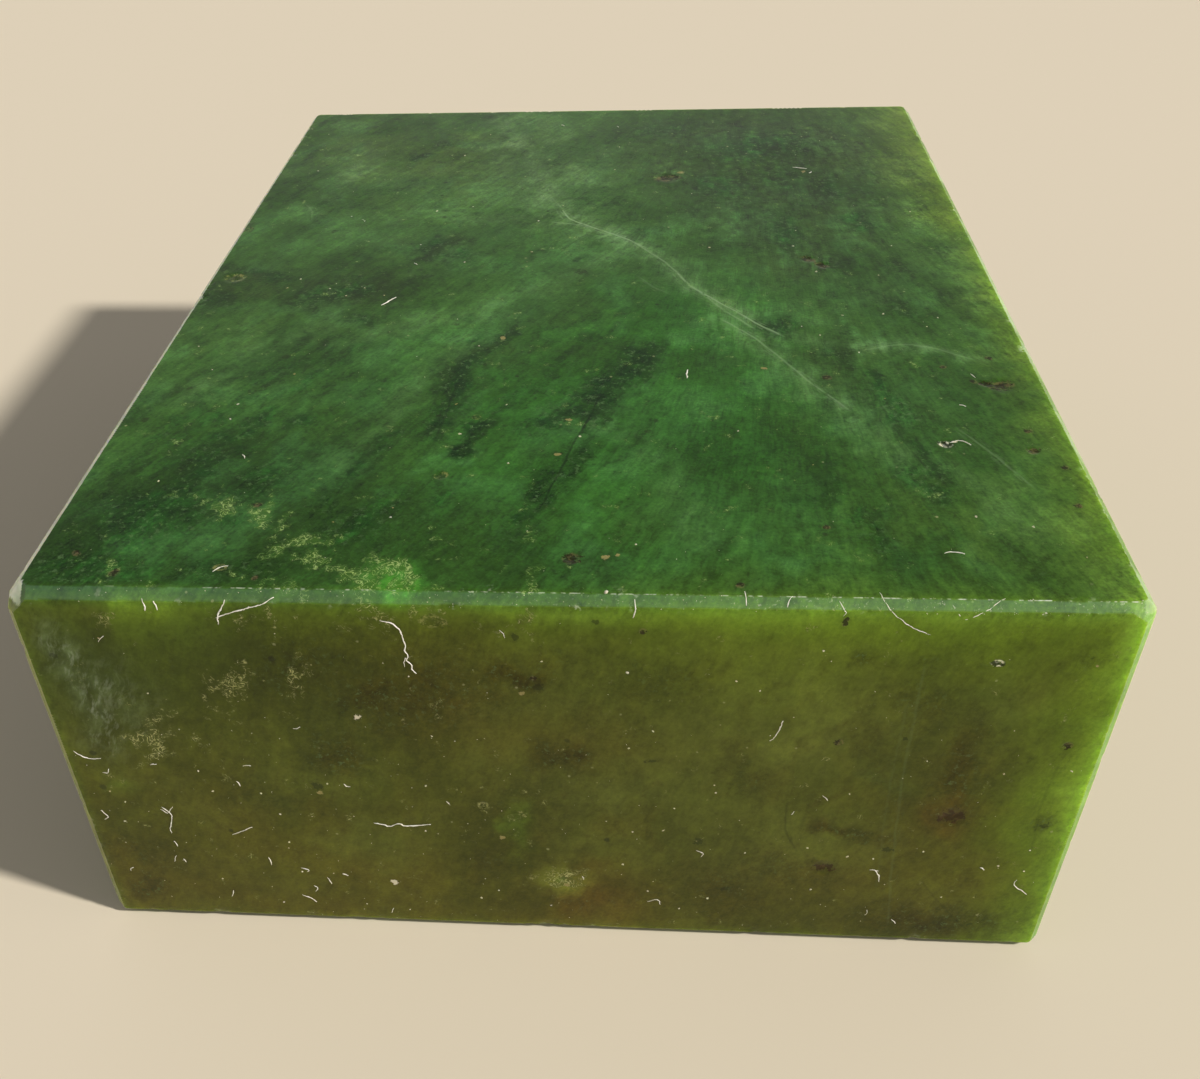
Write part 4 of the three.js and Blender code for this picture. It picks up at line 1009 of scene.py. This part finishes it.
def tube(face, pts, r, verts, quads, sides=6):
    path2 = curve_points(pts, .18, 1.0)
    path = np.array([seat(face, a, b, r) for a, b in path2])
    start = len(verts)
    n = len(path)
    for i in range(n):
        t = path[min(i + 1, n - 1)] - path[max(i - 1, 0)]
        t /= np.linalg.norm(t) + 1e-12
        up = MN[face]
        s1 = np.cross(t, up); s1 /= np.linalg.norm(s1) + 1e-12
        s2 = np.cross(s1, t)
        rr = r * (.35 + .65 * math.sin(math.pi * (i + .6) / (n + .2)) ** .5) * (.62 + .75 * rng.random() ** 1.5)
        for k in range(sides):
            a = 2 * math.pi * k / sides
            verts.append(path[i] + rr * (math.cos(a) * s1 + math.sin(a) * .8 * s2))
    for i in range(n - 1):
        for k in range(sides):
            a, b = start + i * sides + k, start + i * sides + (k + 1) % sides
            quads.append((a, b, b + sides, a + sides))
    quads.append(tuple(start + k for k in reversed(range(sides))))
    quads.append(tuple(start + (n - 1) * sides + k for k in range(sides)))


def flake(face, a, b, r, verts, faces):
    """A tiny crumb: a squashed, dented eight-sided lump."""
    c = seat(face, a, b, r * .5)
    up = MN[face]
    s1 = np.cross(up, [0.3, 1, 0.2]); s1 /= np.linalg.norm(s1)
    s2 = np.cross(up, s1)
    start, turn, slim = len(verts), rng.uniform(0, 6.28), rng.uniform(.35, 1)
    verts.append(c + up * min(r * .5, .9 * r))
    for k in range(6):
        ang = turn + k * math.pi / 3
        rad = r * rng.uniform(.7, 1.15)
        u, v = rad * math.cos(ang - turn), rad * slim * math.sin(ang - turn)
        verts.append(c + s1 * (u * math.cos(turn) - v * math.sin(turn)) + s2 * (u * math.sin(turn) + v * math.cos(turn)))
    verts.append(c - up * r * .5)
    for k in range(6):
        i, j = start + 1 + k, start + 1 + (k + 1) % 6
        faces.append((start, i, j))
        faces.append((start + 7, j, i))


def made(name, verts, faces, material):
    v = np.clip(np.array(verts), LO + 1e-4, HI - 1e-4) / 1000
    me = bpy.data.meshes.new(name)
    me.from_pydata([tuple(p) for p in v], [], faces)
    me.validate()
    for p in me.polygons:
        p.use_smooth = True
    ob = bpy.data.objects.new(name, me)
    scene.collection.objects.link(ob)
    me.materials.append(material)
    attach(ob, "root")
    return ob


def fluff(name, pale, shade):
    n = Nodes(name)
    p = n.coords()
    v = n.noise(p, 1800, 3, .6)
    n.put(n.shader.inputs["Base Color"], n.mix(n.step(.3, .7, v), pale, shade))
    n.put(n.shader.inputs["Roughness"], n.math("ADD", n.math("MULTIPLY", v, .3), .5))
    n.shader.inputs["Subsurface Weight"].default_value = 0.0
    b = n.tree.nodes.new("ShaderNodeBump")
    b.inputs["Strength"].default_value, b.inputs["Distance"].default_value = .4, .00002
    n.put(b.inputs["Height"], n.noise(p, 9000, 2, .6))
    n.put(n.shader.inputs["Normal"], b.outputs[0])
    return n.mat


verts, quads = [], []
for line_pts, r in LINT_TOP:
    tube(TOP, line_pts, r, verts, quads)
for line_pts, r in LINT_FRONT:
    tube(FRONT, line_pts, r * .82, verts, quads)
for _ in range(12):  # short strays, denser low on the front left
    if rng.random() < .35:
        f, a, b = TOP, rng.uniform(-47, 47), rng.uniform(-63, 60)
    else:
        f, a, b = FRONT, -48 + 96 * rng.beta(1.0, 1.5), 1.5 + 42 * rng.beta(1.0, 1.8)
    ang, ln = rng.uniform(0, math.pi), rng.uniform(.35, 1.1)
    d = np.array([math.cos(ang), math.sin(ang)]) * ln
    bend = np.array([-d[1], d[0]]) * rng.uniform(-.35, .35)
    p0 = np.array([a, b])
    tube(f, [tuple(p0), tuple(p0 + d / 2 + bend), tuple(p0 + d)], rng.uniform(.028, .045), verts, quads, 5)
lint = made("surface_lint", verts, quads, fluff("lint", srgb(250, 249, 242), srgb(232, 228, 212)))

verts, crumbs = [], []
for x, y in TOP_FLECKS:
    if rng.random() < .5:
        flake(TOP, x, y, rng.uniform(.07, .13), verts, crumbs)
for x, z in FRONT_FLECKS:
    flake(FRONT, x, z, rng.uniform(.08, .15), verts, crumbs)
flake(TOP, 2.9, -64.4, .3, verts, crumbs)
for x in np.concatenate([rng.uniform(-48, 48, 90), rng.uniform(30, 49, 60)]):  # crumbs along the ground front edge
    flake(FRONT, x, on_top(x, LO[1]) - rng.uniform(.0, 1.1), rng.uniform(.03, .075), verts, crumbs)
for _ in range(330):
    if rng.random() < .42:
        flake(TOP, rng.uniform(-48, 48), rng.uniform(-64, 62), rng.uniform(.025, .06), verts, crumbs)
    else:
        flake(FRONT, -48.5 + 97 * rng.beta(.9, 1.3), 1 + 44 * rng.beta(1.0, 1.5), rng.uniform(.03, .07), verts, crumbs)
made("surface_dust", verts, crumbs, fluff("dust", srgb(228, 226, 208), srgb(190, 184, 150)))

# ------------------------------------------------------------------ floor, light, camera
floor_mesh = bpy.data.meshes.new("floor")
floor_mesh.from_pydata([(-3, -3, 0), (3, -3, 0), (3, 3, 0), (-3, 3, 0)], [], [(0, 1, 2, 3)])
floor = bpy.data.objects.new("floor", floor_mesh)
scene.collection.objects.link(floor)
fl = Nodes("floor")
fl.shader.inputs["Base Color"].default_value = (.77, .69, .56, 1)
fl.shader.inputs["Roughness"].default_value = .85
fl.shader.inputs["Specular IOR Level"].default_value = .2
floor_mesh.materials.append(fl.mat)

world = bpy.data.worlds.new("studio")
scene.world = world
world.use_nodes = True
wt_ = world.node_tree
tc = wt_.nodes.new("ShaderNodeTexCoord")
sx = wt_.nodes.new("ShaderNodeSeparateXYZ")
mr = wt_.nodes.new("ShaderNodeMapRange")
mr.interpolation_type = "SMOOTHSTEP"
wt_.links.new(tc.outputs["Generated"], sx.inputs[0])
wt_.links.new(sx.outputs["Z"], mr.inputs["Value"])
for key, v in (("From Min", .18), ("From Max", .72), ("To Min", .56), ("To Max", .20)):
    mr.inputs[key].default_value = v
wt_.links.new(mr.outputs[0], wt_.nodes["Background"].inputs[1])
wt_.nodes["Background"].inputs[0].default_value = (1.0, .98, .95, 1)

to_sun = Vector((.761, -.225, .609)).normalized()
sun = bpy.data.lights.new("key", "SUN")
sun.energy = 3.5
sun.angle = math.radians(4.5)
sun.color = (1.0, .955, .87)
sun_ob = bpy.data.objects.new("key", sun)
scene.collection.objects.link(sun_ob)
sun_ob.rotation_mode = "QUATERNION"
sun_ob.rotation_quaternion = to_sun.to_track_quat("Z", "Y")

cam = bpy.data.cameras.new("camera")
cam_ob = bpy.data.objects.new("camera", cam)
scene.collection.objects.link(cam_ob)
scene.camera = cam_ob
right = Vector((.99934074, .03336493, .01431295))
fwd = Vector((-.01786938, .79521257, -.60606737)).normalized()
right = (right - fwd * right.dot(fwd)).normalized()
down = fwd.cross(right)
M = Matrix.Identity(4)
for i in range(3):
    M[i][0], M[i][1], M[i][2] = right[i], -down[i], -fwd[i]
M.translation = Vector((.0041387, -.146289, .115284))
cam_ob.matrix_world = M
cam.lens = 1236.156 * 36 / 1200
cam.sensor_width = 36
cam.sensor_fit = "HORIZONTAL"
cam.clip_start = .005
cam.clip_end = 20
scene.view_settings.view_transform = "Standard"
